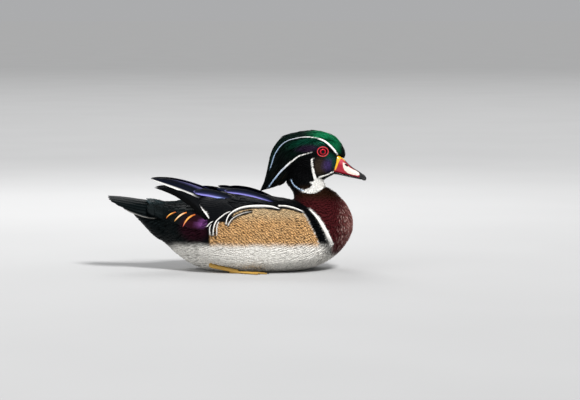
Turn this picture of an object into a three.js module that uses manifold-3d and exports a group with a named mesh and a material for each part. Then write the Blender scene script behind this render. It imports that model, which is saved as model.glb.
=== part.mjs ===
// A life-size wood duck drake, swimming, as a still model that rests on its belly.
// Millimetres, +Z up, +X along the bill, +Y on the bird's left. The origin is on the floor
// under the middle of the belly.

import * as THREE from 'three';
import { LoftGeometry } from 'three/addons/geometries/LoftGeometry.js';
import { mergeVertices } from 'three/addons/utils/BufferGeometryUtils.js';
import Module from 'manifold-3d';

const wasm = await Module();
wasm.setup();

// Gap left between parts that touch, and the size of the slivers cleared after cuts.
const GAP = 0.3;
const SLIVER = 0.02;

// Trunk, without wings: station x, top, bottom, half width, height of the widest line,
// fullness of the upper and of the lower half of the section.
const TRUNK = [
  [-112, 84, 42, 22, 64, 2.0, 2.0],
  [-100, 86, 31.5, 29, 61, 2.0, 2.0],
  [-86, 88, 18.5, 38, 58, 2.0, 2.0],
  [-70, 92, 8, 47, 55, 2.0, 2.1],
  [-48, 97, -0.5, 58, 52, 2.0, 2.2],
  [-25, 99.5, -4, 66, 50, 2.05, 2.3],
  [5, 98.5, -5, 70, 49, 2.1, 2.4],
  [35, 94.5, -4.5, 69, 48, 2.1, 2.4],
  [60, 91, -2.5, 65.5, 48, 2.1, 2.35],
  [80, 94, 1, 61, 49, 2.1, 2.3],
  [100, 99, 7.5, 54.5, 52, 2.1, 2.2],
  [112, 101, 14.5, 48, 55, 2.1, 2.1],
  [121, 96.5, 22, 41, 57, 2.1, 2.0],
  [128.5, 89.5, 30.5, 33.5, 59, 2.0, 2.0],
  [134, 80.5, 39, 25.5, 60, 2.0, 2.0],
  [137.8, 72, 47, 17, 60, 2.0, 2.0],
  [140, 62, 58, 5, 60, 2.0, 2.0],
];
const TRUNK_STATIONS = [-112, -100, -85, -68, -50, -28, -4, 20, 42, 60, 76, 91, 104, 114, 122, 129, 134.4,
  138, 140];
const TRUNK_SIDES = 24;
const TRUNK_REAR = -100;

// Neck: height of the section, middle x, half length fore and aft, half width, forward tilt.
const NECK = [
  [80, 98, 33, 45],
  [90, 94.5, 31, 38],
  [98, 92, 28.5, 30],
  [103, 87, 26.5, 25.5],
  [107, 82.2, 24.2, 23],
  [112, 78.8, 25.2, 21.2],
  [118, 77.5, 25.5, 20],
  [126, 80, 26, 19],
  [136, 86, 27, 18],
];
const NECK_STATIONS = [80, 86, 92, 98, 103, 107, 112, 118, 126, 136];
const NECK_SIDES = 20;

// Head without the crest: station x, top, bottom, half width, height of the widest line.
const HEAD = [
  [55, 146, 122, 5, 134],
  [60, 158, 114, 12.5, 136],
  [68, 169, 110, 17.2, 138],
  [78, 176, 110, 19.6, 139],
  [90, 179, 111.5, 20.4, 140],
  [100, 178, 115.5, 19.6, 141],
  [109, 174, 120.5, 17.2, 143],
  [117, 168.5, 124.5, 13.8, 145],
  [123, 163.8, 127.5, 10.8, 147],
  [127.5, 159.5, 132, 8, 148],
  [130.6, 154, 138.5, 4.6, 147],
];
const HEAD_STATIONS = [55, 58, 63, 70, 79, 88, 97, 105, 112, 118, 123, 127, 129.6, 130.6];
const HEAD_SIDES = 20;
const HEAD_FULLNESS = 2.15;

// Seams: the line under the jaw and the line round the foot of the neck, each from its
// rear end to its front end, as x and z.
const JAW_SEAM = [[30, 131.3], [150, 109.7]];
const NECK_SEAM = [[50, 92.8], [150, 107.9]];

// Locks of the crest: angle round the crest from its outer edge, and where each begins and
// ends in hundredths of the way from the forehead to the tip.
const LOCKS = [
  { turn: 0, runs: [[2, 54], [42, 100]] },
  { turn: 40, runs: [[4, 50], [38, 88]] },
  { turn: 80, runs: [[10, 60], [46, 99]] },
  { turn: 118, runs: [[44, 90]] },
];
const LOCK = { half: 6.2, widest: 24, core: 0.62, sunk: 1.5, rise: [-2.2, 0.4], layer: 0.8 };

// Crest: its outer edge from the forehead over the crown to the tip, and its lower edge
// from the brow past the nape to the tip, as x and z at equal steps.
const CREST_OUTER = [[127.5, 161.5], [117, 171.7], [103, 179], [86, 181.6], [68, 179.3], [50, 174.2],
  [38.5, 161.5], [32, 146], [29, 130], [25.5, 116], [20.4, 103.4]];
const CREST_LOWER = [[124, 157.5], [112, 166.5], [99, 168.5], [86, 162], [76, 150], [67, 137],
  [58.5, 122], [49, 111.2], [39, 108], [29, 105.2], [20.6, 103.2]];
// Half width of the crest at the same steps.
const CREST_HALF = [3, 9.5, 14.5, 17.6, 18.4, 17, 14.2, 11.2, 8, 4.8, 0.8];

// Bill: station x, top, bottom, half width.
const BILL_TOP = [
  [116.5, 150.5, 127.2, 9.6],
  [121, 149.6, 126.3, 9.7],
  [126, 146, 125.1, 9.4],
  [130.4, 142.2, 124.1, 8.9],
  [135.2, 137.2, 122.9, 8.3],
  [141.7, 132, 121.4, 7.9],
  [148.2, 128, 119.9, 7.6],
  [152.4, 125, 118.9, 6.6],
  [155.3, 121.8, 118.2, 4.4],
  [156.4, 119.8, 118, 2],
];
const BILL_LOW = [
  [112, 127.2, 123.4, 7.4],
  [118.5, 126.3, 122.8, 8],
  [126, 124.7, 121.2, 7.9],
  [135, 122.5, 119.2, 7.2],
  [144, 120.4, 117.6, 6.6],
  [150, 119, 116.8, 5.2],
  [153, 118.2, 117, 2.6],
];
const BILL_SIDES = 14;
const NAIL = { x: 152.6, z: 121.4, length: 5.4, half: 4.3, height: 4, drop: -36 };
const NOSTRIL = { x: 131.6, z: 136.6, y: 7.2, length: 2.6, height: 1, depth: 1.6, slope: -38 };

// Eyes: place of the ball's middle, its radius, and the rim of the lids round it.
const EYE = { x: 100.2, y: 14.6, z: 154.6, radius: 6.2, yaw: 9 };
const LID = { long: 6.9, high: 6.1, thick: 1.15, out: 3.6 };

// Wing: stretch of the trunk it lies on, the angles from the middle of the back, and the
// depth of its down. The gap is half the parting between the two wings.
const WING = { front: 60, rear: -50, top: 4, low: 57, deep: 2.8, parting: 0.5 };
// Scapulars in tiers: root stations, angles across the tier, length, half width.
const SCAPULARS = { roots: [23, -6], angles: [14, 32, 50], length: 42, half: 11 };
// Tertials and secondaries, each from its root over a middle place to its tip, with half
// width and roll. A roll of 0 lies level, 90 stands on edge.
const TERTIALS = [
  { path: [[-14, -9, 100.2], [-40, -10.5, 106.4], [-66, -9.5, 108]], half: 8.5, roll: 14 },
  { path: [[-12, -22, 98.6], [-40, -24, 104], [-65, -20.5, 103.6]], half: 9, roll: 32 },
  { path: [[-12, -36, 94], [-38, -38, 97.5], [-61, -33, 97]], half: 9, roll: 46 },
];
const SECONDARIES = { roots: [-18, -14, -10], from: [46, 55, 63], to: [44, 54, 64], tips: [-57, -53, -48],
  half: 8, lift: 4.6 };
// Primaries, in a lower and an upper sheaf: path of the longest from its root, half width and
// roll, how far along that path each one's tip comes, and the step from one to the next.
const PRIMARIES = [
  { path: [[-56, -42, 81], [-80, -29, 94], [-116, -13, 107]], half: 7, roll: 56, tips: [1, 0.86, 0.72] },
  { path: [[-56, -33.5, 96], [-84, -20, 110], [-121, -8, 119.2]], half: 6.5, roll: 46,
    tips: [1, 0.88, 0.76] },
];
const SHEAF_STEP = 1.15;
// The hand that the sheaves spring from: how far it runs along them and how thick it is.
const HAND = [[0, 3.4], [0.22, 3.6], [0.42, 1.8]];

// Flank: stretch of the trunk, its angles, and the depth of its down. The room is the space
// that its feathers keep to.
const FLANK = { front: 92, rear: -44, top: 60, low: 122, deep: 2.8 };
const FLANK_ROOM = { front: 95, rear: -56, top: 57.6, low: 125, deep: 5.4 };
// Height of a feather over the trunk at its root and tip, and how much lower its neighbours lie.
const DOWN = { rise: [0.8, 4.6], layer: 0.95 };
const FLANK_TIERS = [
  { root: -14, length: 38, angles: [67, 89, 111], half: 13 },
  { root: 16, length: 42, angles: [65, 84], half: 11.5 },
];

// Golden side plumes over the side of the rump: root and tip, as x and angle.
const PLUME = { front: -62, rear: -88, top: 61, low: 92, deep: 1.8 };
const PLUMES = [
  { from: [-76, 62], to: [-97, 73], half: 2.6 },
  { from: [-68, 66], to: [-89, 80], half: 2.8 },
  { from: [-62, 72], to: [-79, 90], half: 3 },
];

// Tail: root, tip, arch of the folded fan at both, and the feathers on each side.
const TAIL = { root: -100.3, block: -113, tip: -178, feathers: 6, half: 10.6, widest: 25, step: 1.4 };
const TAIL_ARCH = [
  [-178, 93.2, 27, 21],
  [-152, 92.6, 27, 21],
  [-126, 90.2, 24.5, 18],
  [-100, 88, 20, 14],
];
const TAIL_SWEEP = 74;

// Coverts over and under the tail: root stations, length and half width of each tier.
const RUMP = { front: -58, rear: -112, tiers: [[-62, 32], [-84, 34]], half: 10.5, span: 16 };
const UNDERTAIL = [
  [-151, 3, 85, 79.5],
  [-142, 12, 82, 69],
  [-130, 18, 79, 56],
  [-116, 23, 77, 41.5],
  [-100.3, 28, 76, 32.5],
];
const UNDERTAIL_TIERS = [
  { root: -100.6, length: 30, angles: [180, 140, 103], half: 10, rise: [-1.8, 2.2] },
  { root: -117, length: 34, angles: [180, 128], half: 9.5, rise: [-4.2, 1.8] },
];

// Legs and feet, tucked under the belly.
const HEEL = new THREE.Vector3(-43, -43, 9.5);
const TOE_BASE = new THREE.Vector3(-8, -50, 3);
const TOES = { length: [30, 38, 34], spread: [-32, -15, 2], hind: 11, thick: 3.2, web: 1.3 };

// Feathers: thickness at the shaft and at the edges, and the arch of the vane.
const VANE = { shaft: 0.65, edge: 0.5, arch: 0.1 };
// Half width along a feather, as share of its length and share of its half width.
const BLUNT = [[0, 0.5], [0.36, 1], [0.8, 0.92], [1, 0.24]];
const POINTED = [[0, 0.6], [0.3, 1], [0.7, 0.72], [1, 0.1]];
const QUILL = [[0, 0.75], [0.45, 1], [0.85, 0.8], [1, 0.12]];

// Surface colours of the plain model.
const COLOURS = {
  maroon: 0x4a1f1a, black: 0x101418, green: 0x0f4a33, white: 0xf2f0ea, tan: 0xb9924f,
  red: 0xc4142c, pink: 0xc02a48, yellow: 0xe0a91c, straw: 0xb8913c, blue: 0x1b2a4a, gold: 0xc98a3a,
};

// Smooth curve through a table's rows: gives all columns after the first at any x.
function smooth(rows) {
  const last = rows.length - 1;
  const chord = (i, c) => (rows[i + 1][c] - rows[i][c]) / (rows[i + 1][0] - rows[i][0]);
  const slope = (i, c) => {
    if (i === 0) return chord(0, c);
    if (i === last) return chord(last - 1, c);
    const before = chord(i - 1, c);
    const after = chord(i, c);
    return before * after <= 0 ? 0 : 2 * before * after / (before + after);
  };
  return (x) => {
    let i = 0;
    while (i < last - 1 && x > rows[i + 1][0]) i += 1;
    const span = rows[i + 1][0] - rows[i][0];
    const t = (x - rows[i][0]) / span;
    return rows[i].slice(1).map((value, k) => {
      const c = k + 1;
      const rise = rows[i + 1][c] - value;
      const a = slope(i, c) * span;
      const b = slope(i + 1, c) * span;
      return value + t * (a + t * (3 * rise - 2 * a - b + t * (a + b - 2 * rise)));
    });
  };
}

// Direction away from the middle of the bird, for a place on its skin.
const outward = ({ x, y, z }) => new THREE.Vector3(0, y, z - (x > 20 && z > 104 ? 140 : 56));
const signedPower = (value, power) => Math.sign(value) * Math.abs(value) ** power;

// Closed solid of a geometry, facing outwards.
function solid(geometry) {
  geometry.deleteAttribute('normal');
  geometry.deleteAttribute('uv');
  const merged = mergeVertices(geometry, 1e-4);
  const triangles = Uint32Array.from(merged.index.array);
  const make = () => new wasm.Manifold(new wasm.Mesh({
    numProp: 3,
    vertProperties: Float32Array.from(merged.attributes.position.array),
    triVerts: triangles,
  }));
  const first = make();
  if (first.volume() > 0) return first;
  for (let i = 0; i < triangles.length; i += 3) {
    [triangles[i], triangles[i + 1]] = [triangles[i + 1], triangles[i]];
  }
  return make();
}

// Closed skin over rings of points, which all turn the same way round.
function loft(rings) {
  const normal = new THREE.Vector3();
  const middle = rings[Math.floor(rings.length / 2)];
  middle.forEach((point, i) => normal.add(point.clone().cross(middle[(i + 1) % middle.length])));
  const along = rings.at(-1)[0].clone().sub(rings[0][0]);
  const ordered = normal.dot(along) > 0 ? rings : rings.map((ring) => [...ring].reverse());
  return solid(new LoftGeometry(ordered, { capStart: true, capEnd: true }));
}
const join = (solids) => solids.reduce((sum, next) => sum.add(next));

// The largest closed body of a solid.
function largest(body) {
  return body.decompose().reduce((best, next) => (next.volume() > best.volume() ? next : best));
}

// The same solid on the other side of the bird.
function mirrored(body) {
  const mesh = body.getMesh();
  const points = Float32Array.from(mesh.vertProperties);
  const triangles = Uint32Array.from(mesh.triVerts);
  for (let i = 1; i < points.length; i += 3) points[i] = -points[i];
  for (let i = 0; i < triangles.length; i += 3) {
    [triangles[i], triangles[i + 1]] = [triangles[i + 1], triangles[i]];
  }
  return new wasm.Manifold(new wasm.Mesh({ numProp: 3, vertProperties: points, triVerts: triangles }));
}

// Prism across the whole bird over an outline given as x and z.
function prism(outline, half = 120) {
  const shape = new THREE.Shape(outline.map(([x, z]) => new THREE.Vector2(x, z)));
  const geometry = new THREE.ExtrudeGeometry(shape, { depth: 2 * half, bevelEnabled: false });
  geometry.rotateX(Math.PI / 2);
  geometry.translate(0, half, 0);
  return solid(geometry);
}

// Point of the trunk's skin: angle 0 is the middle of the back, 90 the widest line of the
// bird's right side, 180 the belly.
const trunkAt = smooth(TRUNK);
function trunkPoint(x, angle, grow = 0, floor = 0) {
  const [top, bottom, half, wide, upper, lower] = trunkAt(x);
  const turn = THREE.MathUtils.degToRad(angle);
  const across = Math.sin(turn);
  const rise = Math.cos(turn);
  const power = 2 / (rise > 0 ? upper : lower);
  const y = -(half + grow) * signedPower(across, power);
  const reach = rise > 0 ? top - wide + grow : wide - bottom + grow;
  const z = wide + reach * signedPower(rise, power);
  return new THREE.Vector3(x, y, Math.max(z, floor));
}

function trunkRing(x, grow) {
  const step = 360 / TRUNK_SIDES;
  return Array.from({ length: TRUNK_SIDES }, (_, i) => trunkPoint(x, i * step, grow, grow > 0 ? -9 : 0));
}
const trunk = (grow = 0) => loft(TRUNK_STATIONS.map((x) => trunkRing(x, grow)));

const neckAt = smooth(NECK);
function neck(grow = 0) {
  return loft(NECK_STATIONS.map((z) => {
    const [middle, long, half] = neckAt(z);
    return Array.from({ length: NECK_SIDES }, (_, i) => {
      const turn = 2 * Math.PI * i / NECK_SIDES;
      return new THREE.Vector3(middle + (long + grow) * Math.cos(turn), (half + grow) * Math.sin(turn), z);
    });
  }));
}

const headAt = smooth(HEAD);
function headRing(x, grow) {
  const [top, bottom, half, wide] = headAt(x);
  return Array.from({ length: HEAD_SIDES }, (_, i) => {
    const turn = 2 * Math.PI * i / HEAD_SIDES;
    const rise = Math.cos(turn);
    const reach = rise > 0 ? top - wide + grow : wide - bottom + grow;
    const y = (half + grow) * signedPower(Math.sin(turn), 2 / HEAD_FULLNESS);
    return new THREE.Vector3(x, y, wide + reach * signedPower(rise, 2 / HEAD_FULLNESS));
  });
}
const skull = (grow = 0) => loft(HEAD_STATIONS.map((x) => headRing(x, grow)));

// A ball stretched to three half sizes, turned and moved into place.
function ball(place, sizes, turn = [0, 0, 0], detail = [12, 7]) {
  const geometry = new THREE.SphereGeometry(1, ...detail);
  geometry.scale(...sizes);
  const [rx, ry, rz] = turn.map(THREE.MathUtils.degToRad);
  geometry.applyMatrix4(new THREE.Matrix4().makeRotationFromEuler(new THREE.Euler(rx, ry, rz)));
  geometry.translate(...place);
  return solid(geometry);
}

// Everything above, or below, a seam.
function pastSeam([[x0, z0], [x1, z1]], shift, top) {
  const far = top ? 260 : -60;
  return prism([[x0, z0 + shift], [x1, z1 + shift], [200, z1 + shift], [200, far], [x0, far]]);
}

// One half of the bill: an arch for the upper, a shallow keel for the lower.
function billHalf(rows, grow, crown) {
  const at = smooth(rows);
  const rings = rows.map(([x]) => {
    const [top, bottom, half] = at(x);
    return Array.from({ length: BILL_SIDES }, (_, i) => {
      const turn = 2 * Math.PI * i / BILL_SIDES;
      const rise = Math.cos(turn);
      const level = crown > 0 ? bottom + 0.3 * (top - bottom) : top - 0.3 * (top - bottom);
      const power = rise * crown > 0 ? 1 : 0.5;
      const reach = (rise > 0 ? top - level : level - bottom) + grow;
      const y = (half + grow) * signedPower(Math.sin(turn), 0.9);
      return new THREE.Vector3(x, y, level + reach * signedPower(rise, power));
    });
  });
  return loft(rings);
}

// Place on the crest: hundredths of its length from the forehead, and angle from the outer
// edge over the bird's right side.
const profile = (points) => new THREE.CatmullRomCurve3(points.map(([x, z]) => new THREE.Vector3(x, 0, z)));
const crestOuter = profile(CREST_OUTER);
const crestLower = profile(CREST_LOWER);
const crestHalf = smooth(CREST_HALF.map((half, i) => [i / (CREST_HALF.length - 1), half]));
function crestPoint(hundredths, angle) {
  const share = THREE.MathUtils.clamp(hundredths / 100, 0, 1);
  const turn = THREE.MathUtils.degToRad(angle);
  const place = crestOuter.getPoint(share).lerp(crestLower.getPoint(share), 0.5 - 0.5 * Math.cos(turn));
  place.y = -crestHalf(share)[0] * Math.sin(turn) * (1 - 0.25 * Math.cos(turn));
  return place;
}

// Down of the crest, which ends well short of the tips.
function crestCore() {
  const rings = Array.from({ length: 7 }, (_, i) => {
    const share = 100 * LOCK.core * i / 6;
    const shrink = 1 - 0.6 * (i / 6) ** 7;
    const middle = crestPoint(share, 0).lerp(crestPoint(share, 180), 0.5);
    return Array.from({ length: 12 }, (_, k) => {
      const point = crestPoint(share, 360 * k / 12);
      const away = point.clone().sub(middle);
      const reach = Math.max(away.length() - LOCK.sunk, 0.4) / Math.max(away.length(), 0.01);
      return middle.clone().addScaledVector(away, reach * shrink);
    });
  });
  return loft(rings);
}

// A feather: rows of places across it from edge to edge, each with the normal there. Both
// faces are split into the same triangles.
function vane(rows, grow = 0) {
  const middle = (rows[0].length - 1) / 2;
  const points = rows.flatMap((row) => row.flatMap(({ at, up }, j) => {
    const outward = at.clone().sub(row[middle].at);
    const place = at.clone().addScaledVector(outward.normalize(), grow);
    const depth = (j === middle ? VANE.shaft : VANE.edge) / 2 + grow;
    return [place.clone().addScaledVector(up, depth), place.clone().addScaledVector(up, -depth)];
  }));
  const faces = [];
  const index = (i, j, under) => (i * rows[0].length + j) * 2 + under;
  const quad = (a, b, c, d) => faces.push(a, b, c, a, c, d);
  const end = rows.length - 1;
  const edge = rows[0].length - 1;
  for (let i = 0; i < end; i += 1) {
    for (let j = 0; j < edge; j += 1) {
      quad(index(i, j, 0), index(i, j + 1, 0), index(i + 1, j + 1, 0), index(i + 1, j, 0));
      faces.push(index(i, j, 1), index(i + 1, j + 1, 1), index(i, j + 1, 1));
      faces.push(index(i, j, 1), index(i + 1, j, 1), index(i + 1, j + 1, 1));
    }
    quad(index(i, 0, 0), index(i + 1, 0, 0), index(i + 1, 0, 1), index(i, 0, 1));
    quad(index(i, edge, 0), index(i, edge, 1), index(i + 1, edge, 1), index(i + 1, edge, 0));
  }
  for (let j = 0; j < edge; j += 1) {
    quad(index(0, j, 0), index(0, j, 1), index(0, j + 1, 1), index(0, j + 1, 0));
    quad(index(end, j, 0), index(end, j + 1, 0), index(end, j + 1, 1), index(end, j, 1));
  }
  const geometry = new THREE.BufferGeometry();
  geometry.setAttribute('position', new THREE.Float32BufferAttribute(points.flatMap((p) => p.toArray()), 3));
  geometry.setIndex(faces);
  return solid(geometry);
}

// A feather that lies on a surface given by two numbers, from one pair to another. Its root
// is sunk in the down and it rises evenly to its tip, so the next tier's fit under it.
function layFeather(surface, from, to, half, [root, lift], { form = BLUNT, widest = 99, grow = 0 } = {}) {
  const start = new THREE.Vector2(...from);
  const finish = new THREE.Vector2(...to);
  const step = 0.25;
  return vane(form.map(([share, width]) => {
    const spot = start.clone().lerp(finish, share);
    const reach = surface(spot.x, spot.y + step).distanceTo(surface(spot.x, spot.y - step)) / (2 * step);
    const turn = Math.min(half * width / reach, widest);
    const height = root + (lift - root) * share;
    return [-1, 0, 1].map((side) => {
      const y = spot.y + side * turn;
      const at = surface(spot.x, y);
      const across = surface(spot.x, y + step).sub(surface(spot.x, y - step));
      const along = surface(spot.x + step, y).sub(surface(spot.x - step, y));
      const up = across.cross(along).normalize();
      if (up.dot(outward(at)) < 0) up.negate();
      return { at: at.addScaledVector(up, height), up };
    });
  }), grow);
}

// Curve through three places.
function through(path) {
  const curve = new THREE.QuadraticBezierCurve3(...path.map((p) => new THREE.Vector3(...p)));
  curve.v1.multiplyScalar(2).addScaledVector(curve.v0, -0.5).addScaledVector(curve.v2, -0.5);
  return curve;
}

// A feather along a free path of three places, or a share of that path, rolled about its
// own shaft and raised off the path.
function quill({ path, half, roll }, { form = QUILL, grow = 0, from = 0, reach = 1, raised = 0 } = {}) {
  const curve = through(path);
  const turn = THREE.MathUtils.degToRad(roll);
  return vane(form.map(([share, width]) => {
    const spot = from + share * (reach - from);
    const along = curve.getTangent(spot);
    const level = along.clone().cross(new THREE.Vector3(0, 0, 1)).normalize();
    const rise = level.clone().cross(along);
    const across = level.clone().multiplyScalar(Math.cos(turn)).addScaledVector(rise, Math.sin(turn));
    const up = rise.clone().multiplyScalar(Math.cos(turn)).addScaledVector(level, -Math.sin(turn));
    return [-1, 0, 1].map((side) => ({
      at: curve.getPoint(spot).addScaledVector(across, side * half * width)
        .addScaledVector(up, raised + (side === 0 ? VANE.arch * half * width : 0)),
      up,
    }));
  }), grow);
}

const PATCH_STEPS = 4;
// Patch of feathers lying on the trunk between two angles, its root sunk in the trunk.
function patch({ front, rear, top, low, deep }, stations, edge) {
  const rings = Array.from({ length: stations + 1 }, (_, i) => {
    const x = front + (rear - front) * i / stations;
    const swell = deep * edge(i / stations);
    const outer = [];
    const inner = [];
    for (let k = 0; k <= PATCH_STEPS; k += 1) {
      const angle = top + (low - top) * k / PATCH_STEPS;
      const rise = swell * Math.sin(Math.PI * Math.min(1, 0.08 + k / PATCH_STEPS * 0.9)) ** 0.4;
      outer.push(trunkPoint(x, angle, rise));
      inner.unshift(trunkPoint(x, angle, -1.5));
    }
    return [...outer, ...inner];
  });
  return loft(rings);
}

// Tapered arm between two or more places, with an ellipse for its section.
function arm(places, radii, sides = 10) {
  const rings = places.map((place, i) => {
    const ahead = places[Math.min(i + 1, places.length - 1)];
    const behind = places[Math.max(i - 1, 0)];
    const along = ahead.clone().sub(behind).normalize();
    const across = new THREE.Vector3(0, 1, 0).cross(along).normalize();
    const side = along.clone().cross(across);
    return Array.from({ length: sides }, (_, k) => {
      const turn = 2 * Math.PI * k / sides;
      return place.clone().addScaledVector(across, radii[i][1] * Math.cos(turn))
        .addScaledVector(side, radii[i][0] * Math.sin(turn));
    });
  });
  return loft(rings);
}

const model = new THREE.Group();

function place(name, body, colour, roughness = 0.6, metalness = 0) {
  const mesh = largest(body.simplify(SLIVER)).getMesh();
  const geometry = new THREE.BufferGeometry();
  geometry.setAttribute('position', new THREE.BufferAttribute(Float32Array.from(mesh.vertProperties), 3));
  geometry.setIndex(new THREE.BufferAttribute(Uint32Array.from(mesh.triVerts), 1));
  geometry.computeVertexNormals();
  const surface = new THREE.MeshStandardMaterial({ color: colour, roughness, metalness });
  const piece = new THREE.Mesh(geometry, surface);
  piece.name = name;
  model.add(piece);
}

function placePair(name, right, colour, roughness, metalness) {
  place(`${name}_right`, right, colour, roughness, metalness);
  place(`${name}_left`, mirrored(right), colour, roughness, metalness);
}

// Rim of skin round the right eye, an oval ring set on the side of the head.
const rimRing = new THREE.TorusGeometry(1, LID.thick / LID.high, 5, 12);
rimRing.scale(LID.long - LID.thick, LID.high - LID.thick, LID.high);
rimRing.rotateX(Math.PI / 2);
rimRing.rotateZ(THREE.MathUtils.degToRad(EYE.yaw));
rimRing.translate(EYE.x, -EYE.y - LID.out, EYE.z);
const eyeRim = solid(rimRing);

// One webbed foot, flat on the floor, with three toes and a small hind toe.
function foot() {
  const toe = (length, spread, thick) => {
    const turn = THREE.MathUtils.degToRad(spread);
    const tip = new THREE.Vector3(length * Math.cos(turn), length * Math.sin(turn), 0).add(TOE_BASE);
    const middle = TOE_BASE.clone().lerp(tip, 0.5);
    const level = (point, radius) => new THREE.Vector3(point.x, point.y, radius);
    return arm([level(TOE_BASE, thick), level(middle, thick * 0.8), level(tip, 0.7)],
      [[thick, thick * 0.8], [thick * 0.8, thick * 0.75], [0.7, 0.5]], 5);
  };
  const toes = TOES.length.map((length, i) => toe(length, TOES.spread[i], TOES.thick / 2));
  const rim = TOES.length.map((length, i) => {
    const turn = THREE.MathUtils.degToRad(TOES.spread[i]);
    const reach = length * 0.9;
    return new THREE.Vector2(TOE_BASE.x + reach * Math.cos(turn), TOE_BASE.y + reach * Math.sin(turn));
  });
  const outline = new THREE.Shape([new THREE.Vector2(TOE_BASE.x, TOE_BASE.y), ...rim]);
  const web = new THREE.ExtrudeGeometry(outline, { depth: TOES.web, bevelEnabled: false });
  const hind = toe(TOES.hind, 168, TOES.thick / 3);
  return join([...toes, solid(web), hind]);
}

// Trunk, neck and head are one flesh, parted at the seams.
const rearCut = prism([[-200, -60], [TRUNK_REAR, -60], [TRUNK_REAR, 200], [-200, 200]]);
const flesh = join([trunk(), neck(), skull()]);
const grownTrunk = trunk(GAP);
const grownFlesh = join([grownTrunk, neck(GAP), skull(GAP)]);
const billAll = join([billHalf(BILL_TOP, GAP, 1), billHalf(BILL_LOW, GAP, -1)]);
const eyeAt = (side, grow) => ball([EYE.x, side * EYE.y, EYE.z],
  [EYE.radius + grow, EYE.radius + grow, EYE.radius + grow]);
const torso = flesh.subtract(pastSeam(NECK_SEAM, 0, true)).subtract(rearCut);
const neckPart = flesh.intersect(pastSeam(NECK_SEAM, GAP, true)).intersect(pastSeam(JAW_SEAM, -GAP, false));
const headPart = flesh.intersect(pastSeam(JAW_SEAM, 0, true)).subtract(billAll)
  .subtract(eyeAt(1, GAP)).subtract(eyeAt(-1, GAP));
place('torso', torso, COLOURS.maroon);
place('neck', neckPart, COLOURS.black);
place('head', headPart, COLOURS.green, 0.4, 0.3);
placePair('eye', eyeAt(-1, 0), COLOURS.red, 0.1);
placePair('eyelid', eyeRim.subtract(eyeAt(-1, GAP)).subtract(skull(GAP)), COLOURS.red, 0.5);

const locks = LOCKS.flatMap(({ turn, runs }, row) => runs.flatMap(([from, to]) => {
  const lock = layFeather(crestPoint, [from, turn], [to, turn], LOCK.half,
    LOCK.rise.map((height) => height - LOCK.layer * (row % 2)), { form: POINTED, widest: LOCK.widest });
  return turn === 0 ? [lock] : [lock, mirrored(lock)];
}));
place('crest', join([crestCore(), ...locks]).subtract(grownFlesh), COLOURS.green, 0.4, 0.3);

// Bill.
const nail = ball([NAIL.x, 0, NAIL.z], [NAIL.length, NAIL.half, NAIL.height], [0, -NAIL.drop, 0]);
const grownNail = ball([NAIL.x, 0, NAIL.z],
  [NAIL.length + GAP, NAIL.half + GAP, NAIL.height + GAP], [0, -NAIL.drop, 0]);
const frontOfBill = prism([[NAIL.x - 2, 116.2], [170, 112], [170, 140], [NAIL.x - 2, 140]]);
const billTop = billHalf(BILL_TOP, 0, 1);
const billLow = billHalf(BILL_LOW, 0, -1);
const nostril = ball([NOSTRIL.x, -NOSTRIL.y, NOSTRIL.z], [NOSTRIL.length, NOSTRIL.depth, NOSTRIL.height],
  [0, -NOSTRIL.slope, 0], [8, 4]);
place('bill_upper', billTop.subtract(grownNail).subtract(nostril).subtract(mirrored(nostril)), COLOURS.pink, 0.4);
place('bill_lower', billLow.subtract(billHalf(BILL_TOP, GAP, 1)).subtract(grownNail), COLOURS.black, 0.4);
place('bill_nail', nail.intersect(frontOfBill), COLOURS.black, 0.3);

// Tail: an arch of feathers, the middle pair on top, rooted in one block.
const tailArch = smooth(TAIL_ARCH);
function tailPoint(x, angle, depth = 0) {
  const [top, half, drop] = tailArch(x);
  const turn = THREE.MathUtils.degToRad(angle);
  const shrink = depth / half;
  return new THREE.Vector3(x, -half * Math.sin(turn) * (1 - shrink),
    top - drop * (1 - Math.cos(turn)) - depth * Math.cos(turn));
}
function tailShell(front, rear, outer, inner, sweep) {
  const stations = [0, 0.5, 1].map((share) => front + (rear - front) * share);
  return loft(stations.map((x) => {
    const over = Array.from({ length: 9 }, (_, k) => tailPoint(x, sweep * (k / 4 - 1), -outer));
    const under = Array.from({ length: 9 }, (_, k) => tailPoint(x, sweep * (1 - k / 4), inner));
    return [...over, ...under];
  }));
}
function tailFeather(order, side) {
  const angle = side * (3 + (TAIL_SWEEP - 13) * order / (TAIL.feathers - 1));
  const tip = TAIL.tip + 0.45 * order ** 1.9;
  const depth = 1.3 + TAIL.step * order + (side > 0 ? 0.5 * TAIL.step : 0);
  const surface = (x, turn) => tailPoint(x, turn, depth);
  return layFeather(surface, [TAIL.root - 2, angle * 0.9], [tip, angle], TAIL.half, [0, 0],
    { widest: TAIL.widest });
}
const tailFeathers = Array.from({ length: TAIL.feathers }, (_, order) => [1, -1]
  .map((side) => tailFeather(order, side))).flat();
const tailBlock = tailShell(TAIL.root, TAIL.block, 0, 10, TAIL_SWEEP);
place('tail', join([tailBlock, ...tailFeathers]), COLOURS.black);
const tailRoom = tailShell(-99, -150, 0.9 + GAP, 12.2, TAIL_SWEEP + 20);

// Height of a feather at its root and tip; every other one lies lower.
const risen = (order) => DOWN.rise.map((height) => height - DOWN.layer * (order % 2));

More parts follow.
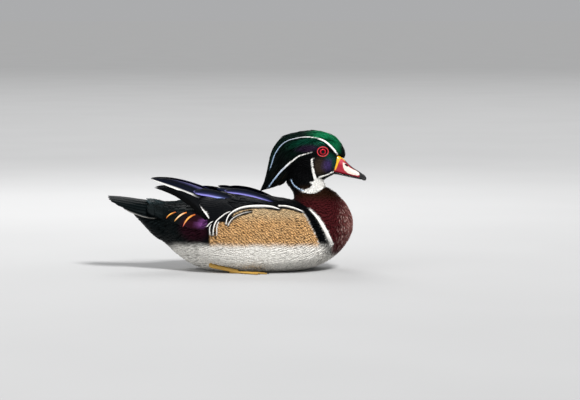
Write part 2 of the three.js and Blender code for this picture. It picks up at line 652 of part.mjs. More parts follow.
// Coverts under the tail: a wedge of down with tiers of feathers round its side and belly.
const undertailAt = smooth(UNDERTAIL);
function undertailPoint(x, angle) {
  const [half, top, bottom] = undertailAt(x);
  const turn = THREE.MathUtils.degToRad(angle);
  const middle = 0.5 * (top + bottom);
  return new THREE.Vector3(x, -half * Math.sin(turn), middle + (top - middle) * Math.cos(turn));
}
const UNDERTAIL_STATIONS = [-128, -119, -109, TAIL.root];
const undertailCore = loft(UNDERTAIL_STATIONS.map((x) => Array.from({ length: 12 }, (_, k) => {
  const shrink = 0.03 + (TAIL.root - x) / 300;
  return undertailPoint(x, 30 * k).lerp(undertailPoint(x, 30 * k + 180), shrink);
})));
const undertailFeathers = UNDERTAIL_TIERS.flatMap(({ root, length, angles, half, rise }) => angles
  .flatMap((angle, k) => {
    const feather = layFeather(undertailPoint, [root, angle], [root - length, angle], half,
      rise.map((height) => height - DOWN.layer * (k % 2)), { widest: 25 });
    return angle === 180 ? [feather] : [feather, mirrored(feather)];
  }));
const behindTrunk = prism([[-220, 0], [TAIL.root, 0], [TAIL.root, 160], [-220, 160]]);
const undertail = join([undertailCore, ...undertailFeathers]).intersect(behindTrunk).subtract(tailRoom);
place('undertail', undertail, COLOURS.black);

// Coverts over the tail, on the rump.
const rumpPoint = (x, y) => {
  const over = x > TAIL.root ? trunkAt(x) : null;
  const tail = tailArch(Math.min(x, TAIL.root));
  const [top, half, drop] = over ? [over[0], over[2], over[0] - over[3]] : [tail[0], tail[1], tail[2]];
  const share = Math.min(Math.abs(y) / half, 0.98);
  const blend = THREE.MathUtils.smoothstep(-x, 84, 104);
  const tailTop = tail[0] - tail[2] * (1 - Math.sqrt(1 - Math.min(Math.abs(y) / tail[1], 0.98) ** 2)) + 1.7;
  const trunkTop = top - drop * (1 - Math.sqrt(1 - share ** 2));
  return new THREE.Vector3(x, -y, THREE.MathUtils.lerp(trunkTop, Math.max(tailTop, trunkTop), blend));
};
const rumpCore = loft([0, 0.25, 0.5, 0.75, 1].map((share) => {
  const x = RUMP.front + (RUMP.rear - RUMP.front) * share;
  const across = Array.from({ length: 9 }, (_, k) => RUMP.span * (1.25 - 0.25 * share) * (k / 4 - 1));
  const depth = 1.6 * Math.sin(Math.PI * (0.12 + 0.8 * share)) ** 0.5;
  const over = across.map((y) => rumpPoint(x, y).add(new THREE.Vector3(0, 0, depth)));
  const under = across.reverse().map((y) => rumpPoint(x, y).add(new THREE.Vector3(0, 0, -2.5)));
  return [...over, ...under];
}));
const rumpFeathers = RUMP.tiers.flatMap(([root, length]) => [-1, 0, 1].map((k) => {
  const y = k * RUMP.span * 0.85;
  return layFeather(rumpPoint, [root, y], [root - length, y * 0.9], RUMP.half, risen(Math.abs(k)));
}));
place('rump', join([rumpCore, ...rumpFeathers]).subtract(grownTrunk).subtract(tailRoom), COLOURS.black);

// Flanks, wings and side plumes of the right side, and their mirror images.
const archedEdge = (low, high) => (share) => Math.sin(Math.PI * Math.min(0.98, low + high * share)) ** 0.4;
const onTrunk = (x, angle) => trunkPoint(x, angle, 0, -9);
const flankFeathers = FLANK_TIERS.flatMap(({ root, length, angles, half }) => angles.map((angle, k) => (
  layFeather(onTrunk, [root, angle], [root - length, angle + 2], half, risen(k)))));
const flankDown = patch(FLANK, 4, archedEdge(0.04, 0.94));
const flankRoom = (grow) => patch(
  { ...FLANK_ROOM, top: FLANK_ROOM.top - grow, deep: FLANK_ROOM.deep + grow }, 4, () => 1);
const flank = join([flankDown, ...flankFeathers]).subtract(grownTrunk).intersect(flankRoom(0));
placePair('flank', flank, COLOURS.tan);

const outside = prism([[-220, -20], [220, -20], [220, 260], [-220, 260]], 90);
const rightHalf = outside.translate([0, -90 - WING.parting, 0]);
const scapulars = SCAPULARS.roots.flatMap((root) => SCAPULARS.angles.map((angle, k) => (
  layFeather(onTrunk, [root, angle], [root - SCAPULARS.length, angle], SCAPULARS.half, risen(k)))));
const secondaries = (grow) => SECONDARIES.roots.map((root, k) => layFeather(onTrunk,
  [root, SECONDARIES.from[k]], [SECONDARIES.tips[k], SECONDARIES.to[k]], SECONDARIES.half,
  [1.4 - 0.6 * k, SECONDARIES.lift - 0.7 * k], { grow }));
const tertials = (grow) => TERTIALS.map((feather) => quill(feather, { form: BLUNT, grow }));
const wing = join([patch(WING, 4, archedEdge(0.1, 0.7)), ...scapulars, ...secondaries(0), ...tertials(0)])
  .subtract(grownTrunk).subtract(neck(GAP)).subtract(flankRoom(GAP)).intersect(rightHalf);
placePair('wing', wing, COLOURS.blue);

const wingDown = patch({ ...WING, rear: WING.rear - GAP, deep: WING.deep + GAP }, 4, archedEdge(0.1, 0.7));
const wingGrown = join([wingDown, ...secondaries(GAP), ...tertials(GAP)]);
const quillRoot = patch({ front: WING.rear - GAP, rear: -70, top: 30, low: 56, deep: 4.2 }, 3, () => 1);
const sheaves = PRIMARIES.flatMap((sheaf) => sheaf.tips.map((reach, k) => (
  quill(sheaf, { from: 0.14, reach, raised: k * SHEAF_STEP }))));
const hand = loft(HAND.map(([share, thick]) => {
  const [low, high] = PRIMARIES.map(({ path }) => through(path).getPoint(share));
  const middle = low.clone().lerp(high, 0.5);
  const long = high.sub(low).multiplyScalar(0.62);
  const flat = new THREE.Vector3(0, -long.z, long.y).normalize().multiplyScalar(thick);
  return Array.from({ length: 10 }, (_, k) => {
    const turn = 2 * Math.PI * k / 10;
    return middle.clone().addScaledVector(long, Math.cos(turn)).addScaledVector(flat, Math.sin(turn));
  });
}));
const primaries = join([quillRoot, hand, ...sheaves])
  .subtract(grownTrunk).subtract(wingGrown).subtract(flankRoom(GAP)).intersect(rightHalf);
placePair('primaries', primaries, COLOURS.blue);

const plume = join([patch(PLUME, 2, archedEdge(0.1, 0.88)),
  ...PLUMES.map(({ from, to, half }) => layFeather(onTrunk, from, to, half, [0.9, 2.4], { form: POINTED }))]);
placePair('plume', plume.subtract(grownTrunk), COLOURS.gold);

// Legs and feet.
const thigh = arm([new THREE.Vector3(-38, -33, 20), HEEL, TOE_BASE.clone().add(new THREE.Vector3(-3, 0, 1))],
  [[5, 5], [3.4, 3.6], [2.4, 2.6]]);
const footPart = foot();
const ankle = prism([[TOE_BASE.x - 4, -20], [60, -20], [60, 40], [TOE_BASE.x - 4, 40]]);
const ankleGap = prism([[TOE_BASE.x - 4 - GAP, -20], [60, -20], [60, 40], [TOE_BASE.x - 4 - GAP, 40]]);
placePair('leg', thigh.subtract(grownTrunk).subtract(ankleGap), COLOURS.straw, 0.5);
placePair('foot', footPart.intersect(ankle), COLOURS.straw, 0.5);

export default model;
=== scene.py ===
"""A life-size wood duck drake, swimming, dressed in feathers over one skin.

Lengths in the tables are millimetres in the bird's own frame: +X towards the bill, +Y on
its left, +Z up from the floor. A marking is drawn on the side view, as x and a height that
is lowered a little for places far from the middle, because the bird is seen from slightly
above; both sides carry the same markings.
"""

import math

import bpy
import numpy as np
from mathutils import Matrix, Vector
from mathutils.bvhtree import BVHTree
from mathutils.kdtree import KDTree


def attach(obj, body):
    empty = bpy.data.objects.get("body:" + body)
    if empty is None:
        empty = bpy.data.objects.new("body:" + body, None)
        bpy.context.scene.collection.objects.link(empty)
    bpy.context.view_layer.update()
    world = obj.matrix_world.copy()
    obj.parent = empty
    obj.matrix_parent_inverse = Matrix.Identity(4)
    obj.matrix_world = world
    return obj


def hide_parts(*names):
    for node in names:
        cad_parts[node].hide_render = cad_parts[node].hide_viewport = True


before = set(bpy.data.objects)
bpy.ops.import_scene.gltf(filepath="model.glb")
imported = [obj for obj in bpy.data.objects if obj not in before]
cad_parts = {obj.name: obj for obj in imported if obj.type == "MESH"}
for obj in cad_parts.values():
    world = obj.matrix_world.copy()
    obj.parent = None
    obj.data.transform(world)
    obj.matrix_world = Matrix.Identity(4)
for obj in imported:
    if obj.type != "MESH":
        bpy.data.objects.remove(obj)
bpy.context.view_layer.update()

MM = 0.001
# Chance differences between the large feathers, the same on every run.
chance = np.random.default_rng(11)

# Trunk: x, top, bottom, half width, height of the widest line, fullness above and below it.
TRUNK = [
    (-112, 84, 42, 22, 64, 2.0, 2.0), (-100, 86, 31.5, 29, 61, 2.0, 2.0),
    (-86, 88, 18.5, 38, 58, 2.0, 2.0), (-70, 92, 8, 47, 55, 2.0, 2.1),
    (-48, 97, -0.5, 58, 52, 2.0, 2.2), (-25, 99.5, -4, 66, 50, 2.05, 2.3),
    (5, 98.5, -5, 70, 49, 2.1, 2.4), (35, 94.5, -4.5, 69, 48, 2.1, 2.4),
    (60, 91, -2.5, 65.5, 48, 2.1, 2.35), (80, 94, 1, 61, 49, 2.1, 2.3),
    (100, 99, 7.5, 54.5, 52, 2.1, 2.2), (112, 101, 14.5, 48, 55, 2.1, 2.1),
    (121, 96.5, 22, 41, 57, 2.1, 2.0), (128.5, 89.5, 30.5, 33.5, 59, 2.0, 2.0),
    (134, 80.5, 39, 25.5, 60, 2.0, 2.0), (137.8, 72, 47, 17, 60, 2.0, 2.0),
    (140, 62, 58, 5, 60, 2.0, 2.0),
]
# Neck: height, middle x, half length, half width.
NECK = [
    (80, 98, 33, 45), (90, 94.5, 31, 38), (98, 92, 28.5, 30), (103, 87, 26.5, 25.5),
    (107, 82.2, 24.2, 23), (112, 78.8, 25.2, 21.2), (118, 77.5, 25.5, 20),
    (126, 80, 26, 19), (136, 86, 27, 18),
]
# Head without crest: x, top, bottom, half width, height of the widest line.
HEAD = [
    (55, 146, 122, 5, 134), (60, 158, 114, 12.5, 136), (68, 169, 110, 17.2, 138),
    (78, 176, 110, 19.6, 139), (90, 179, 111.5, 20.4, 140), (100, 178, 115.5, 19.6, 141),
    (109, 174, 120.5, 17.2, 143), (116, 170.2, 124, 13.8, 146), (118.2, 168.9, 127, 12.7, 149),
    (120.2, 167.6, 148.2, 11.6, 154.5), (124.5, 164.2, 146.2, 9, 154),
    (128.3, 158.8, 143.6, 6.2, 151), (130.3, 153.8, 143.8, 3.4, 148.5),
]
HEAD_FULLNESS = 2.15
# Crest, by hundredths of its length: outer edge x and z, lower edge x and z, half width.
CREST = [
    (0, 128.2, 162.2, 124, 157.5, 3), (10, 118.2, 172.7, 112.6, 167, 9.8),
    (20, 103, 179, 99, 168.5, 14.5), (30, 86, 181.6, 86, 162, 17.6),
    (40, 68, 179.3, 76, 150, 18.4), (50, 50, 174.2, 67, 137, 17),
    (60, 38.5, 161.5, 58.5, 122, 14.2), (70, 32, 146, 49, 111.2, 11.2),
    (80, 29, 130, 39, 108, 8), (90, 25.5, 116, 29, 105.2, 4.8),
    (100, 20.4, 103.4, 20.6, 103.2, 0.8),
]
# Coverts under the tail: x, half width, top, bottom.
UNDERTAIL = [
    (-151, 3, 85, 79.5), (-142, 12, 82, 69), (-130, 18, 79, 56), (-116, 23, 77, 41.5),
    (-100.3, 28, 76, 32.5), (-88, 33, 74, 25),
]
# Arch of the folded tail: x, top, half width, drop of its sides.
TAIL_ARCH = [
    (-178, 96.3, 23, 12), (-162, 95.2, 25, 13), (-150, 93.7, 26, 15), (-136, 91.7, 25.5, 19),
    (-121, 90, 24, 24), (-100, 88.2, 20, 27),
]
# Tail feathers: x of their roots and of the longest tips, pairs, half width, how far each
# pair turns from the last at root and tip, the step down to the next, and how much
# shorter than the longest each pair is, from the middle out.
TAIL = {"root": -101, "tip": -178, "half": 8.8, "first_turn": 5, "root_turn": 11,
        "tip_turn": 11.4, "layer": 0.9, "shorter": [0, 0.3, 1.5, 4.5, 10, 19]}
# Bill: x, top, bottom, half width.
BILL_TOP = [
    (115, 151.4, 127.4, 10.2), (121, 149.6, 126.3, 10), (126, 146, 125.1, 9.5),
    (130.4, 142.2, 124.1, 8.9), (135.2, 137.2, 122.9, 8.3), (141.7, 132, 121.4, 7.9),
    (148.2, 128, 119.9, 7.5), (152.4, 125, 118.9, 6.5), (155.3, 121.8, 118.2, 4.3),
    (156.4, 119.8, 118, 2),
]
BILL_LOW = [
    (110, 127.4, 124.4, 7.6), (118.5, 126.5, 123.9, 8.2), (126, 125, 122.5, 8),
    (135, 122.8, 120.4, 7.3), (144, 120.7, 118.6, 6.6), (150, 119.2, 117.4, 5.2),
    (153, 118.4, 117.2, 2.6),
]
# Nail at the bill's tip, nostril, eye and eyelid ring; drop, slope and yaw in degrees.
NAIL = {"x": 152.9, "z": 120.6, "length": 5.9, "half": 4.2, "height": 3.5, "drop": 42}
NOSTRIL = {"x": 131.6, "z": 136.4, "long": 2.7, "high": 1.15, "deep": 1.9, "slope": 38}
EYE = {"x": 100.2, "y": 14.6, "z": 154.6, "radius": 6.2, "yaw": 9}
LID = {"long": 7.0, "high": 6.0, "bead": 0.64, "out": 3.7}
# Rear edge of the folded wing's dark panel.
CRESCENT = [
    (-70.2, 97.7), (-63.7, 93.2), (-60.6, 88.1), (-58.2, 83.4), (-54.6, 77.4), (-50.2, 72.2),
    (-46, 67),
]
# How far the skin lies under the coat's surface.
DEPTH = {"trunk": 1.8, "neck": 1.5, "head": 0.9, "crest": 2.0, "undertail": 2.6}
# How much lower a place looks, for each millimetre that it stands nearer, seen from 5
# degrees above.
SIGHT = math.sin(math.radians(5))

# Markings of the head, drawn on the side view as x and height.
BROW_LINE = [
    (119.9, 149.9), (117, 153.7), (113.1, 158.2), (109.2, 162.2), (104, 166.7), (97.5, 169.6),
    (91, 171.2), (84.5, 171.9), (75.4, 172.3), (66.3, 170.6), (58.5, 169), (52, 166.1),
    (46.8, 161.5), (42.9, 156.9), (39, 150.4), (37.1, 145.2), (35.1, 138.8), (32.9, 131.9),
]
CREST_LINE = [
    (87.1, 152.5), (79.3, 150.1), (75.4, 149.2), (70.2, 147.5), (65, 143.9), (58.5, 138.8),
    (52, 132.9), (46.8, 127.7), (41.6, 121.9), (36.4, 115.4), (31.2, 107.3),
]
CHEEK_BAR = [
    (89.7, 144.5), (86.6, 143.3), (86.8, 138.8), (87.5, 132.2), (88.8, 125.8), (91.3, 117.3),
]
CHIN_STRAP = [(114.8, 127.3), (112.5, 126.3), (107.9, 123.7), (102.7, 122), (96.2, 119.8)]
THROAT = [
    (91, 119.2), (97.5, 118.5), (102.2, 116.7), (106, 110.2), (104, 107.8), (98.8, 103.7),
    (92.3, 99.9), (84.5, 98.6), (76.7, 100.3), (69.5, 104.4), (74.1, 104.2), (79.3, 103.9),
    (84.5, 106.8), (87.4, 110.2), (85.3, 112.8), (84, 113.8), (88.4, 114),
]
NAPE_LINE = [(72.8, 103.4), (68.2, 105.7), (64.5, 108.6), (61.4, 112.5), (59.3, 118)]
THROAT_LOW = [(78, 101.3), (84.5, 99.8), (91, 100.8), (93.6, 101.8)]
THROAT_FRONT = [(104.5, 110.2), (102.4, 107.8), (97, 103.9), (91, 101.1)]
# Markings of the body, with the bars at the rear of the flank.
FLANK_TOP_REAR = [
    (-39.5, 45.1), (-39.3, 54.2), (-38.4, 58.2), (-35.1, 62.3), (-29.9, 66.1), (-23.4, 69.8),
    (-20.2, 71.7), (-14.3, 75.6), (-6.5, 79.3), (2.6, 81.2), (13, 82.1), (26, 82.1),
    (35.1, 81.2), (44.2, 79.2),
]
FLANK_TOP_FRONT = [(43.6, 82.5), (54.6, 81.7), (65, 79.1), (74.1, 76.1)]
FLANK_AREA = [
    (-50.7, 53), (-46.8, 59.2), (-41.2, 64.7), (-33.8, 70.1), (-26, 73.8), (-18.2, 76.6),
    (-14.3, 78.7), (-6.5, 82.1), (2.6, 84.2), (14.3, 85.2), (35.1, 84.7), (44.2, 84.9),
    (54.6, 84.4), (65, 81.8), (74.8, 78.7), (80.6, 69.8), (85.8, 59.5), (91, 49), (98.8, 30.9),
    (105.3, -6.9), (-39, -6.9), (-49.4, 25.6), (-52.5, 38.6),
]
FLANK_FRONT = [(74.1, 76.3), (79.3, 68.5), (84.5, 58.2), (89.7, 47.8), (95.5, 34.8)]
FLANK_MAIN = [
    (44.2, 79.2), (35.1, 81.2), (26, 82.1), (13, 82.1), (2.6, 81.2), (-6.5, 79), (-13.7, 75.3),
    (-18.9, 71.2), (-22.1, 65.3), (-23.1, 58.8),
]
FLANK_SECOND = [
    (-17.4, 75.8), (-23.4, 72.7), (-29.6, 68), (-35.1, 63.4), (-37.7, 58.4), (-39.3, 51.6),
    (-39.5, 45.1),
]
FLANK_THIRD = [(-38.5, 64.1), (-43.6, 60.2), (-47.8, 55.5)]
FLANK_INNER = [(9.1, 75.6), (0, 73.5), (-8.5, 70.1), (-15, 66), (-18.7, 61.3), (-20.3, 56.9)]
FLANK_REAR = [(-31.7, 63.1), (-34.1, 58.2), (-34.8, 53), (-34.6, 45.1)]
FLANK_LAST = [(-42.1, 58.9), (-43.9, 54.8), (-43.9, 50.4), (-43.2, 45.1)]
BREAST_BAR = [
    (83.6, 79), (88.9, 73.8), (95.2, 66), (100.4, 56.9), (104.8, 49), (108.7, 40),
    (111.8, 33.5),
]
MAROON_EDGE = [(55.9, 95.2), (66.3, 90.3), (74.1, 85.5), (83.2, 79.5), (94.9, 66), (111.8, 34.1)]
PLUME_REAR = [(-88.4, 73.5), (-96.2, 70.4), (-101.1, 65.4)]
PLUME_MIDDLE = [(-74.1, 73), (-82.7, 69.1), (-90.2, 61.8)]
PLUME_FRONT = [(-62.9, 70.4), (-72.3, 65.4), (-78.8, 55.5)]
REAR_DARK = [
    [(-40, 60), (-41.6, 56.9), (-42.1, 51.6), (-41.3, 43.9)],
    [(-36.7, 58.8), (-37.2, 54.2), (-36.9, 49), (-35.9, 41.2)],
    [(-46.3, 55.5), (-46.8, 51.6), (-45.5, 45.1)],
]
# Soft patches of colour on the side view: middle, radii, tilt and softness; the amethyst sheen is a painted
# highlight.
PATCH = {
    "crown": ((109.2, 168), (24, 13), -26, 0.55), "brow_front": ((130, 153.1), (5.5, 12), 12, 0.5),
    "ear": ((87.1, 165.3), (27, 6.5), 8, 0.5), "crest_side": ((63.7, 158.2), (18, 13), 0, 0.6),
    "crest_end": ((46.8, 118), (11, 12), 45, 0.4), "worn_brow": ((76.7, 171.8), (7, 4), 0, 0.5),
    "plum": ((-63.7, 54.2), (19, 17), 0, 0.35), "amethyst_sheen": ((-53.3, 60.2), (7.5, 5.5), 30, 0.5),
    "bill_blush": ((124.8, 140.7), (4.2, 3.2), -35, 0.7),
}
# More patches on the side of the head below the brow line: ink, middle, radii, tilt,
# softness, share, and the share that the streaks add.
CHEEK_PATCHES = [
    ("purple", (80.6, 157.5), (14, 4.6), 4, 0.5, 0.9, 0),
    ("emerald", (109.2, 146.6), (9, 5), -30, 0.5, 0.9, 0),
    ("bronze", (97.5, 134.2), (8.6, 10.5), 0, 0.5, 0.75, 0),
    ("violet", (107.9, 136.2), (6.0, 7.6), -38, 0.75, 0.35, 0.6),
    ("emerald", (115.7, 136.8), (3.4, 7), 0, 0.5, 0.7, 0),
]


# Colours of the plumage and the bare parts, as sRGB.
PALETTE = {
    "black": "060708", "black_green": "070d0c", "green": "0f7a4c", "emerald": "0b4634",
    "purple": "2c1c34", "bronze": "43362c", "violet": "52407c", "white": "fbf9f4",
    "ice": "b4cdea", "maroon": "4b191c", "rose": "9a625c", "olive": "2c1d0e", "tan": "c89c69",
    "sand": "ccb38c", "mantle": "07090c", "slate_blue": "111b38", "lilac": "8c88d8",
    "sky": "8fbce8", "rump_green": "0b1112", "teal": "1c3c42", "plum": "250a15",
    # The amethyst colour is that of a painted sheen on the side of the rump.
    "amethyst_sheen": "6c3c76", "gold": "f0b45c", "cream": "f6dcae", "rust": "b4512f",
    "down": "e9e6df", "crimson": "a00a28", "blush": "e0606c", "ivory": "e9dccf",
    "yellow": "f2b41a", "orange": "ee7a1e", "horn_black": "0b0a0c", "iris": "c8102a",
    "lid_red": "c8303c", "petal": "dcb8ae", "straw": "c49a45", "paper": "bfbfbf", "sky_white": "fcfdff",
}


def linear(hexa):
    """sRGB hex to linear colour."""
    srgb = np.array([int(hexa[i:i + 2], 16) / 255 for i in (0, 2, 4)])
    return np.where(srgb <= 0.04045, srgb / 12.92, ((srgb + 0.055) / 1.055) ** 2.4)


INK = {name: linear(value) for name, value in PALETTE.items()}


def table_curve(rows):
    """Smooth curve through a table's rows, without overshoot; gives all columns after the first."""
    rows = np.array(sorted(rows), float)
    x, value = rows[:, 0], rows[:, 1:]
    chord = np.diff(value, axis=0) / np.diff(x)[:, None]
    slope = np.zeros_like(value)
    slope[0], slope[-1] = chord[0], chord[-1]
    product = chord[:-1] * chord[1:]
    total = np.where(product > 0, chord[:-1] + chord[1:], 1)
    slope[1:-1] = np.where(product > 0, 2 * product / total, 0)

    def at(query):
        query = np.clip(np.asarray(query, float), x[0], x[-1])
        i = np.clip(np.searchsorted(x, query, side="right") - 1, 0, len(x) - 2)
        span = (x[i + 1] - x[i])[..., None]
        t = (query - x[i])[..., None] / span
        rise = value[i + 1] - value[i]
        a, b = slope[i] * span, slope[i + 1] * span
        return value[i] + t * (a + t * (3 * rise - 2 * a - b + t * (a + b - 2 * rise)))

    return at


def fade(low, high, value):
    """Smooth rise from 0 at low to 1 at high, or a fall where low is the greater."""
    t = np.clip((value - low) / (high - low), 0, 1)
    return t * t * (3 - 2 * t)


def mix(a, b, share):
    """Blend from a to b by a share for each place."""
    return a + (b - a) * np.asarray(share)[..., None]


def unit(vectors):
    """Vectors made one long."""
    return vectors / np.maximum(np.linalg.norm(vectors, axis=-1, keepdims=True), 1e-9)


def signed_power(value, power):
    """Power of a value's size, with the value's sign."""
    return np.sign(value) * np.abs(value) ** power


def section_at(x, y, z):
    """Places that share their x, for each y and z."""
    return np.stack([np.broadcast_to(x, z.shape) + 0 * z, y, z], -1)


def seen_height(place):
    """Height at which the side view shows a place."""
    return place[..., 2] - SIGHT * np.abs(place[..., 1])


trunk_at, neck_at, head_at, crest_at = map(table_curve, (TRUNK, NECK, HEAD, CREST))
undertail_at, arch_at = table_curve(UNDERTAIL), table_curve(TAIL_ARCH)


def trunk_point(x, angle, grow=0.0):
    """Place on the trunk; angle 0 is the middle of the back, 90 the bird's right side."""
    top, bottom, half, wide, upper, lower = np.moveaxis(trunk_at(x), -1, 0)
    turn = np.radians(angle)
    across, rise = np.sin(turn), np.cos(turn)
    power = np.where(rise > 0, 2 / upper, 2 / lower)
    y = -(half + grow) * signed_power(across, power)
    reach = np.where(rise > 0, top - wide + grow, wide - bottom + grow)
    z = wide + reach * signed_power(rise, power)
    return section_at(x, y, z)


def crest_point(share, angle, sunk=0.0):
    """Place on the crest; share in hundredths, angle 0 its outer edge, 90 the right side."""
    ox, oz, lx, lz, half = np.moveaxis(crest_at(share), -1, 0)
    turn = np.radians(angle)
    blend = 0.5 - 0.5 * np.cos(turn)
    x, z = ox + (lx - ox) * blend, oz + (lz - oz) * blend
    y = -half * np.sin(turn) * (1 - 0.25 * np.cos(turn))
    middle = np.stack([(ox + lx) / 2, 0 * x, (oz + lz) / 2], -1)
    place = np.stack([x, y, z], -1)
    away = place - middle
    reach = np.linalg.norm(away, axis=-1, keepdims=True)
    depth = np.asarray(sunk, float)[..., None]
    return middle + away * np.maximum(reach - depth, 0.25) / np.maximum(reach, 0.01)


def undertail_point(x, angle, sunk=0.0):
    """Place on the coverts under the tail, or sunk below them."""
    half, top, bottom = np.moveaxis(undertail_at(x), -1, 0)
    turn = np.radians(angle)
    middle, tall = (top + bottom) / 2, (top - bottom) / 2
    y = -np.maximum(half - sunk, 0.8) * np.sin(turn)
    z = middle + np.maximum(tall - sunk, 0.8) * np.cos(turn)
    return section_at(x, y, z)


def tail_point(x, angle, depth=0.0):
    """Place on the arch of the folded tail, or at a depth under it."""
    top, half, drop = np.moveaxis(arch_at(x), -1, 0)
    turn = np.radians(angle)
    y = -half * np.sin(turn) * (1 - depth / half)
    z = top - drop * (1 - np.cos(turn)) - depth * np.cos(turn)
    return section_at(x, y, z)


def bill_point(rows, crown):
    """Surface of one half of the bill, by x and angle; crown is 1 above and -1 below."""
    at = table_curve(rows)

    def point(x, angle, grow=0.0):
        top, bottom, half = np.moveaxis(at(x), -1, 0)
        turn = np.radians(angle)
        rise = np.cos(turn)
        lip = 0.3 * (top - bottom)
        level = bottom + lip if crown > 0 else top - lip
        full = 0.62 + 0.33 * fade(118, 142, x) if crown > 0 else 1.0
        power = np.where(rise * crown > 0, full, 0.5)
        reach = np.where(rise > 0, top - level, level - bottom) + grow
        y = -(half + grow) * signed_power(np.sin(turn), 0.9 * full)
        z = level + reach * signed_power(rise, power)
        return section_at(x, y, z)

    return point


def stroke(x, w, rows, half, soft=0.35):
    """Share of ink from a line with a width that may change along it."""
    points = np.array(rows, float)
    halves = np.interp(np.linspace(0, 1, len(points)), np.linspace(0, 1, len(half)), half)
    near = (x > points[:, 0].min() - 4) & (x < points[:, 0].max() + 4)
    near &= (w > points[:, 1].min() - 4) & (w < points[:, 1].max() + 4)
    ink = np.zeros(len(x))
    q = np.stack([x[near], w[near]], -1)
    best = np.full(len(q), -9.0)
    for a, b, wide_a, wide_b in zip(points[:-1], points[1:], halves[:-1], halves[1:]):
        along = b - a
        t = np.clip(((q - a) @ along) / (along @ along), 0, 1)
        gap = np.linalg.norm(q - a - t[:, None] * along, axis=1)
        best = np.maximum(best, wide_a + (wide_b - wide_a) * t - gap)
    ink[near] = fade(-soft, soft, best)
    return ink


def inside(x, w, rows, soft=0.4):
    """Share of ink from a filled outline."""
    points = np.array(rows, float)
    odd = np.zeros(len(x), bool)
    for a, b in zip(points, np.roll(points, -1, 0)):
        crosses = (a[1] > w) != (b[1] > w)
        tall = b[1] - a[1] if abs(b[1] - a[1]) > 1e-9 else 1e-9
        odd ^= crosses & (x < (b[0] - a[0]) * (w - a[1]) / tall + a[0])
    return np.maximum(odd, stroke(x, w, list(rows) + [rows[0]], [0.0], soft))


def blob(x, w, centre, radii, tilt, soft):
    """Share of ink from a soft oval."""
    c, s = math.cos(math.radians(tilt)), math.sin(math.radians(tilt))
    dx, dw = x - centre[0], w - centre[1]
    u, v = (dx * c + dw * s) / radii[0], (dw * c - dx * s) / radii[1]
    return 1 - fade(1 - soft, 1 + soft, np.hypot(u, v))


def read_off(at, knots, rows):
    """Columns of a table read off between its knots."""
    return np.stack([np.interp(at, knots, column) for column in np.transpose(rows)], -1)


def run(rows):
    """Distance along a path to each of its places."""
    return np.append(0, np.cumsum(np.linalg.norm(np.diff(rows, axis=0), axis=1)))


def line_height(x, rows):
    """Height of a line at x, for a line that runs one way along X."""
    points = np.array(sorted(rows), float)
    return np.interp(x, points[:, 0], points[:, 1])


def line_place(w, rows):
    """Place along X of a line at a height, for a line that runs one way up."""
    points = np.array(sorted((b, a) for a, b in rows), float)
    return np.interp(w, points[:, 0], points[:, 1])


def grain(place, size, seed=0.0):
    """Smooth noise from 0 to 1, with a grain of the given size."""
    q = place / size + seed
    waves = [(1.0, 1.7, 0.6), (-0.7, 1.1, 1.9), (1.5, -0.8, 1.2), (0.4, 2.1, -1.3)]
    total = sum(np.sin(q @ np.array(v) + 1.3 * i + 0.7 * np.sin(q @ np.array(v[::-1])))
                for i, v in enumerate(waves))
    return 0.5 + total / 8


def head_colours(place, x, w):
    """Metallic head, with white lines, cheek bar, chin strap and throat."""
    ink = np.tile(INK["black_green"], (len(x), 1))
    brow = line_height(x, BROW_LINE)
    above = fade(-0.6, 0.6, w - brow)
    streak = grain(place * np.array([1, 3, 3]), 2.4)
    crown = blob(x, w, *PATCH["crown"])
    ink = mix(ink, INK["green"], above * crown * (0.45 + 0.6 * streak))
    ink = mix(ink, INK["emerald"], above * (1 - crown) * 0.1)
    front = blob(x, w, *PATCH["brow_front"])
    rim = 0.7 * fade(5, 1, np.abs(place[:, 1])) * fade(96, 84, x)
    ink = mix(ink, INK["black"], above * np.maximum(front, rim))
    below = 1 - above
    ear = blob(x, w, *PATCH["ear"])
    ink = mix(ink, INK["emerald"], below * ear * (0.5 + 0.8 * streak))
    side = blob(x, w, *PATCH["crest_side"])
    ink = mix(ink, INK["emerald"], below * side * 0.18 * streak)
    for name, middle, radii, tilt, soft, share, streaked in CHEEK_PATCHES:
        patch = blob(x, w, middle, radii, tilt, soft)
        ink = mix(ink, INK[name], below * patch * (share + streaked * streak))
    under = blob(x, w, *PATCH["crest_end"])
    flecks = fade(0.6, 0.78, grain(place, 0.9, 3.0))
    ink = mix(ink, INK["olive"], under * flecks * 0.8)
    low = fade(0, 6, line_height(x, CREST_LINE) - w) * fade(92, 86, x)
    ink = mix(ink, INK["black"], low * (1 - under))
    neck_green = fade(112, 104, w) * fade(62, 74, x)
    ink = mix(ink, INK["olive"], neck_green * 0.75)
    white = stroke(x, w, BROW_LINE, [0.7, 0.6, 0.4, 0.2, 0.2, 0.2, 0.3, 0.2])
    white *= 1 - 0.7 * blob(x, w, *PATCH["worn_brow"]) * (grain(place, 1.6) > 0.45)
    cold = fade(78, 58, x)
    ink = mix(ink, mix(INK["white"], INK["ice"], cold), white)
    lower = stroke(x, w, CREST_LINE, [0.2, 0.4, 0.5, 0.5, 0.4, 0.3])
    ink = mix(ink, mix(INK["white"], INK["ice"], fade(60, 40, x)), lower)
    for rows, half in ((CHEEK_BAR, [0.3, 0.6, 0.7, 1.2]), (CHIN_STRAP, [1.0, 0.4, 0.5, 1.2])):
        ink = mix(ink, INK["white"], stroke(x, w, rows, half))
    pale = np.clip(ink.mean(1) * 4, 0, 1)
    gloss = (1 - pale) * (0.35 + 0.65 * np.maximum(above * crown, below * np.maximum(ear, side)))
    return ink, gloss


